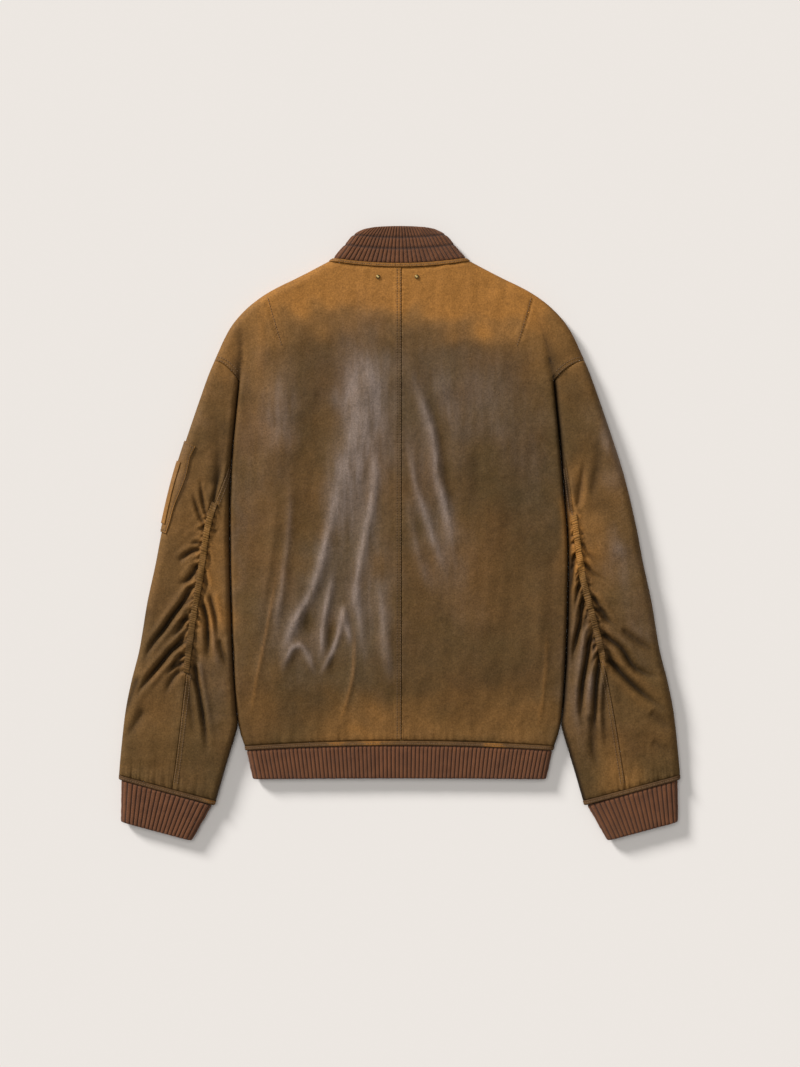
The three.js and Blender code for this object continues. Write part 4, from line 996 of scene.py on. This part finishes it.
def sleeveTopHeight(half, s, fromOuter):
    # the edge's height, plus (loft, creases, gathers, unevenness, cuff puckers and seams, less the
    # edge's height) times the rounding at the outer edge and at the valley
    g = garment
    x, y = sleevePlan(s, fromOuter)
    worldX = half["side"] * x
    v = s["v"][:, None]
    fromInner = s["width"][:, None] - fromOuter
    loft = mix(g["sleeveHeight"], g["cuffHeight"], ease((v - 0.8) / 0.2)) + 3 * np.sin(math.pi * v)
    creased = creaseField(sleeveCreases[half["name"]] + half["folds"], worldX, y)[0]
    gathered, _, toSeam, outside = gatherField(half, x, y)
    height = loft + creased + gathered
    height += (0.5 * waves(worldX, y, 80, 13) + 0.25 * waves(worldX, y, 30, 15)
               + 0.1 * waves(worldX, y, 12, 17))
    toCuff = (1 - v) * g["sleeveRun"]
    cuffPuckers = (puckerWave(fromOuter + 3 * waves(worldX, y, 50, 23), 12, 0.6)
                   + 0.5 * puckerWave(fromOuter, 5.5, 2.6))
    height += 0.8 * cuffPuckers * np.exp(-toCuff / 16) - 1.2 * bell(toCuff, 3)
    height += (seamRelief(toSeam, 0.8 * (~outside), 0.4 * puckerWave(y, 8, 1.1))
               * ease((g["underarmY"] - y) / 20))
    toArmhole = v * g["sleeveRun"]
    height += -1.0 * bell(toArmhole, 1.4)
    open_ = 1 - valleyDepth(y) * (1 - rounded(fromInner, g["valleyRadius"]))
    return g["midHeight"] + (height - g["midHeight"]) * rounded(fromOuter, g["edgeRadius"]) * open_


def sleeveBottomHeight(half, s, fromOuter):
    # the edge's height, rounding down to 0 inside both edges, raised where the pocket lies below
    g = garment
    v = s["v"][:, None]
    fromInner = s["width"][:, None] - fromOuter
    closed = ease((v - underarmOf(half) + 0.01) / 0.012)
    flat = rounded(fromOuter, g["edgeRadius"]) * (1 - closed * (1 - rounded(fromInner, g["valleyRadius"])))
    lift = 0
    if half["side"] < 0:
        window = ease((v - pocketLook["start"] + 0.05) / 0.04) * ease((pocketLook["stop"] + 0.05 - v) / 0.04)
        lift = pocketLook["lift"] * window * (1 - ease((fromOuter - pocketLook["under"] - 4) / 12))
    return g["midHeight"] * (1 - flat) + lift * flat


def sleeveGrid(half, s, fromOuter, onTop):
    # points across the sleeve, at the top's height where onTop and at the underside's elsewhere
    x, y = sleevePlan(s, fromOuter)
    z = np.where(onTop[None, :], sleeveTopHeight(half, s, fromOuter), sleeveBottomHeight(half, s, fromOuter))
    return np.stack([half["side"] * x, y, z], axis=-1)


def sleeveLayers(half, s, fromOuter):
    # painted shade, with some soiling: in the valley beside the body, stronger and broader on the right
    # sleeve, in dark troughs and in the gathers' hollows; rubbing: the creases' own, the gathers' crests and
    # beside the seam
    x, y = sleevePlan(s, fromOuter)
    worldX = half["side"] * x
    height, rub, dark, paintedCrestHighlight = creaseField(sleeveCreases[half["name"]] + half["folds"], worldX, y)
    gathered, nearSeam, _, _ = gatherField(half, x, y)
    fromInner = s["width"][:, None] - fromOuter
    shaded = 1.1 * bell(fromInner, 5) if half["side"] > 0 else 0.5 * bell(fromInner, 2.5)
    paintedShadeAndDirt = shaded * valleyDepth(y) + 0.9 * dark + 0.22 * np.clip(-gathered, 0, 3)
    rub = rub + 0.12 * np.clip(gathered, 0, 3) + 0.08 * nearSeam
    return leatherLayers(worldX, y, rub, paintedShadeAndDirt, 0.08, height, paintedCrestHighlight)


def hiddenSeam(half, s):
    # the seam underneath, from 5 mm in at the underarm to the middle of the sleeve
    return mix(5, s["width"] * 0.5, ease((s["v"] - underarmOf(half)) * 3))


def makeOuterSleeve(half):
    g = garment
    v = np.linspace(0, 1, 325)
    s = sleeveStations(half, v)
    width = s["width"][:, None]
    start = (seamLength(half, s) + 0.12)[:, None]
    joined = (v >= underarmOf(half))[:, None]
    nearSeam = start + np.array([0, 0.4, 0.9, 1.4, 2.0, 2.7, 3.5, 4.4, 5.4, 6.6, 8.0, 9.6, 11.6, 13.6])[None]
    flatFrom = width - insetOf(start + 15.6, g["valleyRadius"])
    top = mix(flatFrom, g["edgeRadius"], np.linspace(0, 1, 42, endpoint=False)[None])
    overEdge = insetOf(np.linspace(g["turn"], 0, 8, endpoint=False), g["edgeRadius"])[None] + 0 * width
    underEdge = insetOf(np.linspace(0, g["turn"], 6, endpoint=False), g["edgeRadius"])[None] + 0 * width
    end = np.where(joined, width - hiddenSeam(half, s)[:, None] - 0.2, width)
    under = mix(g["edgeRadius"], end, np.linspace(0, 1, 8)[None])
    fromOuter = np.hstack([width - insetOf(nearSeam, g["valleyRadius"]), top, overEdge, underEdge, under])
    onTop = np.arange(fromOuter.shape[1]) < 14 + 42 + 8
    grid = sleeveGrid(half, s, fromOuter, onTop)
    name = half["name"]
    upright = v < underarmOf(half)
    piece = shellPiece("sleeve" + name.capitalize() + "Outer", grid, g["leather"], -half["side"],
                       materials["leather"],
                       first=(upright, 1), layers=sleeveLayers(half, s, fromOuter))
    finishPiece(piece, ["sleeve_" + name + "_outer"])
    return piece


def makeUnderSleeve(half):
    g = garment
    v = np.linspace(underarmOf(half) + 0.002, 1, 280)
    s = sleeveStations(half, v)
    width = s["width"][:, None]
    under = (lengthOf(hiddenSeam(half, s), g["valleyRadius"]) - 0.2)[:, None]
    seam = np.maximum(seamLength(half, s) - 0.12, 0.5)[:, None]
    turn = np.minimum(g["turn"], 0.6 * seam)
    underTurn = np.minimum(0.95 * g["turn"], 0.75 * under)
    tail = np.minimum(13, 0.6 * (seam - turn))
    closing = 1 - np.array([13, 11, 9.2, 7.6, 6.2, 5, 4, 3.1, 2.3, 1.6, 1.0, 0.5, 0]) / 13
    m = np.hstack([mix(-under, -underTurn, np.linspace(0, 1, 6, endpoint=False)[None]),
                   mix(-underTurn, 0 * turn, np.linspace(0, 1, 6, endpoint=False)[None]),
                   mix(0 * turn, turn, np.linspace(0, 1, 8, endpoint=False)[None]),
                   mix(turn, seam - tail, np.linspace(0, 1, 20, endpoint=False)[None]),
                   seam - tail + tail * closing[None]])
    fromOuter = width - insetOf(m, g["valleyRadius"])
    onTop = np.arange(m.shape[1]) >= 12
    grid = sleeveGrid(half, s, fromOuter, onTop)
    name = half["name"]
    piece = shellPiece("sleeve" + name.capitalize() + "Under", grid, g["leather"], -half["side"],
                       materials["leather"],
                       layers=sleeveLayers(half, s, fromOuter))
    finishPiece(piece, ["sleeve_" + name + "_under"])
    return piece


def makeTape(half):
    # a gathered band over the elbow seam: plump between two stitch rows, cut across by puckers
    name = half["name"]
    v = np.linspace(*tapeLook["span"][name], 380)
    s = sleeveStations(half, v)
    seam = s["width"] - insetOf(seamLength(half, s), garment["valleyRadius"])
    t = np.linspace(-1, 1, 13)
    length = v * garment["sleeveRun"]
    wave = puckerWave(length, 3.1, 0.4 + half["side"]) * (0.75 + 0.35 * np.sin(length / 17.0 + 1))
    halfWidth = 0.5 * tapeLook["width"] * (1 + 0.05 * wave + 0.1 * np.sin(length / 9) * np.sin(length / 23))
    fromOuter = seam[:, None] - t[None] * halfWidth[:, None]
    fromOuter = fromOuter[:, ::-1]
    grid = sleeveGrid(half, s, fromOuter, np.ones(13, bool))
    smoothZ = grid[:, :, 2].copy()
    for _ in range(60):
        smoothZ[1:-1] = (smoothZ[:-2] + 2 * smoothZ[1:-1] + smoothZ[2:]) / 4
        smoothZ[:, 1:-1] = (smoothZ[:, :-2] + 2 * smoothZ[:, 1:-1] + smoothZ[:, 2:]) / 4
    ends = ease((v - v[0]) / 0.02) * ease((v[-1] - v) / 0.02)
    plump = (1 - t ** 4)[None] * (0.3 + 0.5 * wave[:, None])
    grid[:, :, 2] = smoothZ + tapeLook["lift"] + tapeLook["wall"] * ends[:, None] + plump * ends[:, None]
    # painted shade between the puckers and along both edges of the band
    paintedShadeAndDirt = np.clip(0.25 - 0.6 * wave[:, None], 0, 0.85) + 0.3 * np.abs(t[None]) ** 6
    layers = leatherLayers(grid[:, :, 0], grid[:, :, 1], 0.12 * wave[:, None], paintedShadeAndDirt, 0.15)
    piece = shellPiece("elbowTape" + name.capitalize(), grid, tapeLook["wall"], -half["side"],
                       materials["rubbed"], layers=layers)
    finishPiece(piece, ["elbow_tape_" + name])
    up = np.cross(np.gradient(grid, axis=1), np.gradient(grid, axis=0)) * -half["side"]
    for k in (2, 10):
        line = grid[:, k].copy()
        line[:, 2] += 0.25
        stitchRow("sleeves", line[4:-4], up[4:-4, k] / np.linalg.norm(up[4:-4, k], axis=1, keepdims=True),
                  pitch=3.0, length=2.2)
    return piece


def seamThread(half):
    # topstitching beside the elbow seam above and below the gathers, on the under sleeve's side
    span = tapeLook["span"][half["name"]]
    for first, last in ((underarmOf(half) + 0.07, span[0]), (span[1], 0.985)):
        v = np.linspace(first, last, 160)
        s = sleeveStations(half, v)
        for offset in (1.8, 6.2):
            fromOuter = (s["width"] - insetOf(seamLength(half, s) - offset, garment["valleyRadius"]))[:, None]
            spread = np.hstack([fromOuter - 0.6, fromOuter, fromOuter + 0.6])
            grid = sleeveGrid(half, s, spread, np.ones(3, bool))
            up = gridNormals(grid, half["side"])[:, 1]
            line = grid[:, 1].copy()
            line[:, 2] += 0.25
            stitchRow("sleeves", line, up * np.sign(up[:, 2:]))


# ---- pocket on the wearer's left sleeve ----
def wrapGrid(half, first, last, rows, topReach, underReach, lift, cols=26):
    # wrapped round the sleeve's outer edge, from its edge on top to its hidden edge below
    v = np.linspace(first, last, rows)
    s = sleeveStations(half, v)
    top = lengthOf(topReach(s), garment["edgeRadius"])[:, None]
    share = np.linspace(0, 1, cols, endpoint=False)[None]
    m = np.hstack([mix(top, 0 * top, share), np.linspace(0, underReach, 14)[None] + 0 * top])
    fromOuter = insetOf(m, garment["edgeRadius"])
    onTop = np.arange(m.shape[1]) < cols
    grid = sleeveGrid(half, s, fromOuter, onTop)
    normals = gridNormals(grid, -half["side"])
    grid = grid + normals * lift
    grid[:, :, 2] = np.maximum(grid[:, :, 2], 0)
    return grid


def makePocket(half):
    look = pocketLook

    def reach(s):
        line = curveThrough(look["edge"], 80)
        off = line[None] - s["o"][:, None]
        direction = (s["n"] - s["o"]) / s["width"][:, None]
        across = np.abs(off[..., 0] * direction[:, None, 1] - off[..., 1] * direction[:, None, 0])
        hit = across.argmin(axis=1)
        return np.maximum((off[np.arange(len(hit)), hit] * direction).sum(axis=1), 4)

    grid = wrapGrid(half, look["start"], look["stop"], look["rows"], reach, look["under"], look["wall"] + 0.3)
    rows = np.arange(look["rows"])
    fromEnd = np.minimum(rows, rows[::-1]) * 1.5
    fromEdge = np.cumsum(np.linalg.norm(np.diff(grid, axis=1, prepend=grid[:, :1]), axis=2), axis=1)
    dips = 0.45 * bell(fromEdge - 2.4, 0.7) + 0.45 * bell(fromEnd[:, None] - 3, 0.9)
    layers = leatherLayers(grid[:, :, 0], grid[:, :, 1], 0.35 * bell(fromEdge, 1.5), 0, 0.2)
    piece = shellPiece("sleevePocket", grid, look["wall"], -half["side"], materials["leather"], relief=dips,
                       layers=layers)
    finishPiece(piece, ["sleeve_pocket"])
    up = gridNormals(grid, -half["side"])
    column = np.array([np.interp(2.4, fromEdge[k], np.arange(fromEdge.shape[1])) for k in rows])
    low = np.floor(column).astype(int)
    part = (column - low)[:, None]
    line = grid[rows, low] * (1 - part) + grid[rows, low + 1] * part + up[rows, low] * 0.1
    stitchRow("pocket", line[2:-2], up[rows, low][2:-2], pitch=3.0, length=2.2)
    for k in (2, look["rows"] - 3):
        stitchRow("pocket", grid[k, 2:30] + up[k, 2:30] * 0.1, up[k, 2:30], pitch=3.0, length=2.2)
    pens = wrapGrid(half, 0.25, 0.4, 60, lambda s: 5 + 0 * s["v"], 9, look["wall"] + 1.9, cols=14)
    layers = leatherLayers(pens[:, :, 0], pens[:, :, 1], 0.3, 0, 0.2)
    slots = shellPiece("penSlots", pens, 1.2, -half["side"], materials["leather"], layers=layers)
    finishPiece(slots, ["sleeve_pen_slots"])


# ---- rings of knit and the strips that bind them ----
def ringGrid(t, ends, bows, height, f, slit=0.0):
    # t is down the band (0 to 1) and f round one half of the ring: -1 at the front's middle, 0 on
    # the side fold, 1 at the back's middle. The other half is its mirror.
    g = garment
    left, right = ends(t)
    bowBack, bowFront = bows(t)
    top = height(t)[:, None]
    width = (right[:, 0] - left[:, 0])[:, None]
    radius = g["edgeRadius"]
    halves_ = []
    for sign in (1, -1):
        centre = 0.5 + (sign * g["centreSeamX"] / width if slit else 0)
        reachTop = lengthOf(width * 0.5, radius)
        reachBottom = lengthOf(width * (1 - centre) - slit, radius)
        m = np.where(f[None] >= 0, f[None] * reachTop, f[None] * reachBottom)
        q = insetOf(m, radius) / width
        edge = rounded(insetOf(m, radius), radius)
        up = f[None] >= 0
        z = np.where(up, g["midHeight"] + (top - g["midHeight"]) * edge, g["midHeight"] * (1 - edge))
        q = 1 - q if sign > 0 else q
        x = left[:, :1] + width * q
        bow = np.where(up, bowBack[:, None], bowFront[:, None]) * 4 * q * (1 - q)
        y = left[:, 1:] + (right[:, 1:] - left[:, 1:]) * q + bow
        halves_.append(np.stack([x, y, z], axis=-1))
    a, b = halves_
    if slit:
        return np.concatenate([a, b[:, ::-1][:, 1:]], axis=1)
    return np.concatenate([a, b[:, ::-1][:, 1:-1]], axis=1)


def ringRelief(f, perHalf, slitRing):
    # rounded ribs with narrow valleys; the same rib runs the whole height of the band
    wave = np.abs(np.sin(math.pi * perHalf * f))
    crest = ease(wave * 1.6)
    both = np.concatenate([crest, crest[::-1][1:] if slitRing else crest[::-1][1:-1]])
    phase = np.concatenate([f * perHalf, (f * perHalf)[::-1][1:] if slitRing else (f * perHalf)[::-1][1:-1]])
    return both, phase


def endRows(count, wall, length, first=True, last=True):
    # rows down a band, crowded at the ends that are rounded off, and how far each is pinched
    crowd = np.array([0, 0.06, 0.18, 0.36, 0.62, 1.0]) * wall / length
    body = np.linspace(crowd[-1] if first else 0, 1 - crowd[-1] if last else 1, count)
    t = np.concatenate([crowd[:-1] if first else [], body, 1 - crowd[:-1][::-1] if last else []])
    pinch = np.zeros(len(t))
    if first:
        pinch = np.maximum(pinch, 1 - rounded(t, crowd[-1]))
    if last:
        pinch = np.maximum(pinch, 1 - rounded(1 - t, crowd[-1]))
    return t, pinch


def knitBand(name, nodes, ends, bows, height, length, perHalf, slit, flat, area, rows, grooves=(),
             first=True, rests=laidOn):
    # a ring of knit: pushed in by 1.5 mm times (1 - the rib's crest), plus a gentle unevenness; the
    # crest is a quarter as high at a sewn edge, and each groove lowers it
    wall = garment["knit"]
    t, pinch = endRows(rows, wall, length, first, True)
    f = np.linspace(-1, 1, 2 * perHalf * 6 + 1)
    grid = ringGrid(t, ends, bows, height, f, slit)
    crest, phase = ringRelief(f, perHalf, bool(slit))
    crest = crest[None] * np.ones((len(t), 1))
    for place in grooves:
        crest = crest * (1 - 0.75 * bell((t - place) * length, 1.5))[:, None]
    fade = np.ones(len(t)) if first else ease(t * length / 2.5)
    relief = 1.5 * (1 - crest * (0.25 + 0.75 * fade[:, None]))
    lumpy = (0.22 * waves(grid[:, :, 0], grid[:, :, 1], 16, 61)
             + 0.12 * waves(grid[:, :, 0], grid[:, :, 1], 5, 63))
    uv = np.stack([phase[None] + 0 * crest, (t * length)[:, None] + 0 * crest], axis=-1)
    # the crest mask also sets the colour: painted shade between the ribs and in the grooves
    piece = shellPiece(name, grid, wall, 1, materials["knit"], relief=relief + lumpy, pinch=pinch,
                       wrap=not slit, layers=dict(crest=crest), uv=uv)
    finishPiece(piece, nodes)
    return piece


def stripBand(name, nodes, ends, bows, height, slit, flat, area, wall, rests=laidOn, seed=1):
    # a folded strip of leather, plump, puckered, and stitched along its middle
    t = np.linspace(0, 1, 9)
    f = np.linspace(-1, 1, 241)
    grid = ringGrid(t, ends, bows, height, f, slit)
    x, y = grid[:, :, 0], grid[:, :, 1]
    plump = (1 - (2 * t - 1) ** 4)[:, None]
    wave = puckerWave(x + 0.4 * y + 2 * waves(x, y, 40, 71 + seed), 9, 0.7 * seed)
    relief = 0.9 * (1 - plump) - 0.25 * wave * plump - 0.5 + 0.45 * bell(t - 0.45, 0.14)[:, None]
    worn = ease(waves(x, y, 60, 81 + seed) - 0.35) * 0.9 * plump
    # painted shade where the strip turns under at both edges
    layers = leatherLayers(x, y, worn + 0.15, 0.5 * (1 - plump), 0.1)
    piece = shellPiece(name, grid, wall, 1, materials["edge"], relief=relief, wrap=not slit, layers=layers)
    finishPiece(piece, nodes)
    count = grid.shape[1]
    up = gridNormals(grid, 1, wrap=not slit)
    back = np.arange(count // 4, 3 * count // 4)
    line = grid[4, back] + up[4, back] * 0.25
    stitchRow("body" if slit else "sleeves", line, up[4, back], pitch=3.2, length=2.4)
    return piece


def bandShape(top, bottom, halfTop, halfBottom, drops, heights):
    # a straight band's row ends, its bow behind and in front, and its height
    def ends(t):
        halfWidth = mix(halfTop, halfBottom, t)
        y = mix(top, bottom, t) - mix(drops[0], drops[1], t)
        return np.stack([-halfWidth, y], axis=1), np.stack([halfWidth, y], axis=1)
    return ends, (lambda t: (mix(drops[0], drops[1], t),) * 2), (lambda t: mix(heights[0], heights[1], t))


def cuffShape(half, top, bottom, heights):
    # the same for a cuff, whose rows run between two slanting lines
    def edge(k, t):
        x, y = mix(top[k][0], bottom[k][0], t), mix(top[k][1], bottom[k][1], t)
        return np.stack([half["side"] * x, y], axis=1)

    def ends(t):
        outer, inner = edge(0, t), edge(1, t)
        return (inner, outer) if half["side"] > 0 else (outer, inner)
    return ends, (lambda t: (0 * t, 0 * t)), (lambda t: mix(heights[0], heights[1], t))


def makeHem():
    strip = bandShape(-280.9, -287.1, 210, 208.8, (7.3, 7.0), (16.0, 15.6))
    stripBand("hemStrip", ["hem_strip"], *strip, garment["slit"], (0.010, 0.83), 0.0068, garment["strip"],
              seed=1)
    rib = bandShape(-287.3, -332, 207.5, 199, (6.9, 1.2), (15, 14.5))
    knitBand("hemRib", ["hem_rib"], *rib, 45, 38, garment["slit"], (0.045, 0.83), None, 14, first=False)


def makeCuffs(half):
    g = garment
    name = half["name"]
    strip = cuffShape(half, [(380.7, -327.2), (248.9, -362.2)], [(380.2, -333.6), (251, -368.6)],
                      (g["cuffHeight"] + 0.8, g["cuffHeight"] + 0.5))
    stripBand("cuffStrip" + name.capitalize(), ["cuff_strip_" + name], *strip, 0, (0.010, 0.27), 0.0023,
              g["strip"], seed=2 + half["side"])
    rib = cuffShape(half, [(377.5, -333.9), (254.5, -368.8)], [(378, -391), (282, -416.8)],
                    (g["cuffHeight"], 15))
    knitBand("cuffRib" + name.capitalize(), ["cuff_rib_" + name], *rib, 54, 10, 0, (0.057, 0.26), None, 22,
             first=False)


def makeCollar():
    sides = curveThrough([(90, 374), (81, 384.5), (72, 395), (62, 406), (46, 414.5)], 40)[::-1]
    place = np.linspace(0, 1, 41)

    def ends(t):
        halfWidth, y = np.interp(t, place, sides[:, 0]), np.interp(t, place, sides[:, 1])
        return np.stack([-halfWidth, y], axis=1), np.stack([halfWidth, y], axis=1)

    def bows(t):
        y = np.interp(t, place, sides[:, 1])
        return mix(417.0, 366.6, t) - y, mix(398.0, 344.6, t) - y

    knitBand("collarRib", ["collar_rib"], ends, bows, lambda t: mix(14.0, garment["neckHeight"], t), 50, 15,
             2.0,
             (0.056, 0.37), 0.0181, 30, grooves=(0.31, 0.61))
    strip = lambda t: (np.stack([-mix(90.6, 95.8, t), mix(373.6, 369.3, t)], axis=1),
                       np.stack([mix(90.6, 95.8, t), mix(373.6, 369.3, t)], axis=1))
    bow = lambda t: (mix(366.3, 360.7, t) - mix(373.6, 369.3, t), mix(344.3, 338.3, t) - mix(373.6, 369.3, t))
    stripBand("neckStrip", ["neck_strip"], strip, bow, lambda t: 0 * t + garment["neckHeight"] + 0.6,
              garment["slit"],
              (0.010, 0.37), 0.0030, garment["strip"], seed=4)


# ---- zip teeth, hidden below ----
def makeTeeth():
    # two rows of small blocks that mesh, 2.4 mm apart, down the closed chain
    low, high = (np.array(v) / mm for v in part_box("zip_chain"))
    pitch, size = 2.4, np.array([3.4, 1.1, 2.2])
    count = int((high[1] - low[1] - 2) / pitch)
    y = low[1] + 1 + pitch * np.arange(count)
    middle = (low + high) / 2
    corners = np.array([(a, b, c) for c in (-1, 1) for b in (-1, 1) for a in (-1, 1)]) * size / 2
    centres = np.concatenate([np.stack([0 * y + middle[0] + s * 1.1, y + (pitch / 2 if s > 0 else 0),
                                        0 * y + middle[2]], axis=1) for s in (-1, 1)])
    points = centres[:, None] + corners[None]
    cube = np.array([[0, 2, 3, 1], [4, 5, 7, 6], [0, 1, 5, 4], [2, 6, 7, 3], [0, 4, 6, 2], [1, 3, 7, 5]])
    faces = (cube[None] + 8 * np.arange(len(points))[:, None, None]).reshape(-1, 4)
    piece = meshPiece("zipTeeth", points.reshape(-1, 3), faces, materials["brass"],
                      flat=np.arange(len(faces)))
    finishPiece(piece, ["zip_chain"])


for half in halves.values():
    half["folds"] = gatherFolds(half)
    makeBack(half)
    makeFront(half)
    makeOuterSleeve(half)
    makeUnderSleeve(half)
    makeTape(half)
    seamThread(half)
    makeCuffs(half)
    print("half made:", half["name"])
makePocket(halves["left"])
makeHem()
makeCollar()
makeTeeth()
finishThread("body", "stitchesBody", materials["thread"], "jacket")
finishThread("sleeves", "stitchesSleeves", materials["thread"], "jacket")
finishThread("pocket", "stitchesPocket", materials["thread"], "jacket")
print("rings, zip and thread made")

for node, finish in dict(zip_tape_left="tape", zip_tape_right="tape", stud_left="brass", stud_right="brass",
                         zip_slider="brass", zip_pull="brass").items():
    thing = bpy.data.objects[node]
    thing.data.materials.clear()
    thing.data.materials.append(materials[finish])

# ---- floor, light and camera ----
studio = dict(
    distance=3.6,
    lens=89.3,
    key=dict(towards=(-1.0, 1.0, 0.58), spread=14, strength=4.3),
    top=dict(towards=(-0.3, 0.35, 2.1), spread=40, strength=1.25),
    world=0.2,
    floorHalf=4000,         # millimetres from the middle to the paper's edge
    floorLow=-0.3,          # just under the jacket, so that no face shares the paper's plane
)


def makeFloor():
    # the plain paper that the jacket lies on
    wide, low = studio["floorHalf"], studio["floorLow"]
    points = np.array([(-wide, -wide, low), (wide, -wide, low), (wide, wide, low), (-wide, wide, low)])
    floor = meshPiece("studioFloor", points, np.array([[0, 1, 2, 3]]), materials["paper"], lowest=low)


def makeLight(name, towards, spread, strength):
    # a far soft light, so that the floor is lit evenly; spread is its width in degrees
    light = bpy.data.lights.new(name, "SUN")
    light.angle = math.radians(spread)
    light.energy = strength
    lamp = bpy.data.objects.new(name, light)
    lamp.location = towards
    lamp.rotation_euler = Vector(towards).to_track_quat("Z", "Y").to_euler()
    bpy.context.scene.collection.objects.link(lamp)


makeFloor()
for name in ("key", "top"):
    makeLight(name + "Light", **studio[name])
world = bpy.data.worlds.new("studioWorld")
world.use_nodes = True
fill = world.node_tree.nodes["Background"]
fill.inputs["Color"].default_value = (1.0, 0.985, 0.965, 1.0)
fill.inputs["Strength"].default_value = studio["world"]
# beyond the paper the eye meets a wall of the same pale colour, which adds no light
wall = addNode(world, "ShaderNodeBackground", {"Color": hexColour("#ece7e1"), "Strength": 1.0})
seen = addNode(world, "ShaderNodeLightPath").outputs["Is Camera Ray"]
either = addNode(world, "ShaderNodeMixShader", {0: seen, 1: fill.outputs[0], 2: wall.outputs[0]})
world.node_tree.links.new(either.outputs[0], world.node_tree.nodes["World Output"].inputs["Surface"])
bpy.context.scene.world = world
bpy.context.scene.view_settings.view_transform = "Standard"

camera = bpy.data.objects.new("camera", bpy.data.cameras.new("camera"))
camera.data.lens = studio["lens"]
camera.data.sensor_width = 36
camera.data.clip_end = 50
camera.location = (0.0007, 0, studio["distance"])
bpy.context.scene.collection.objects.link(camera)
bpy.context.scene.camera = camera
print("studio set")
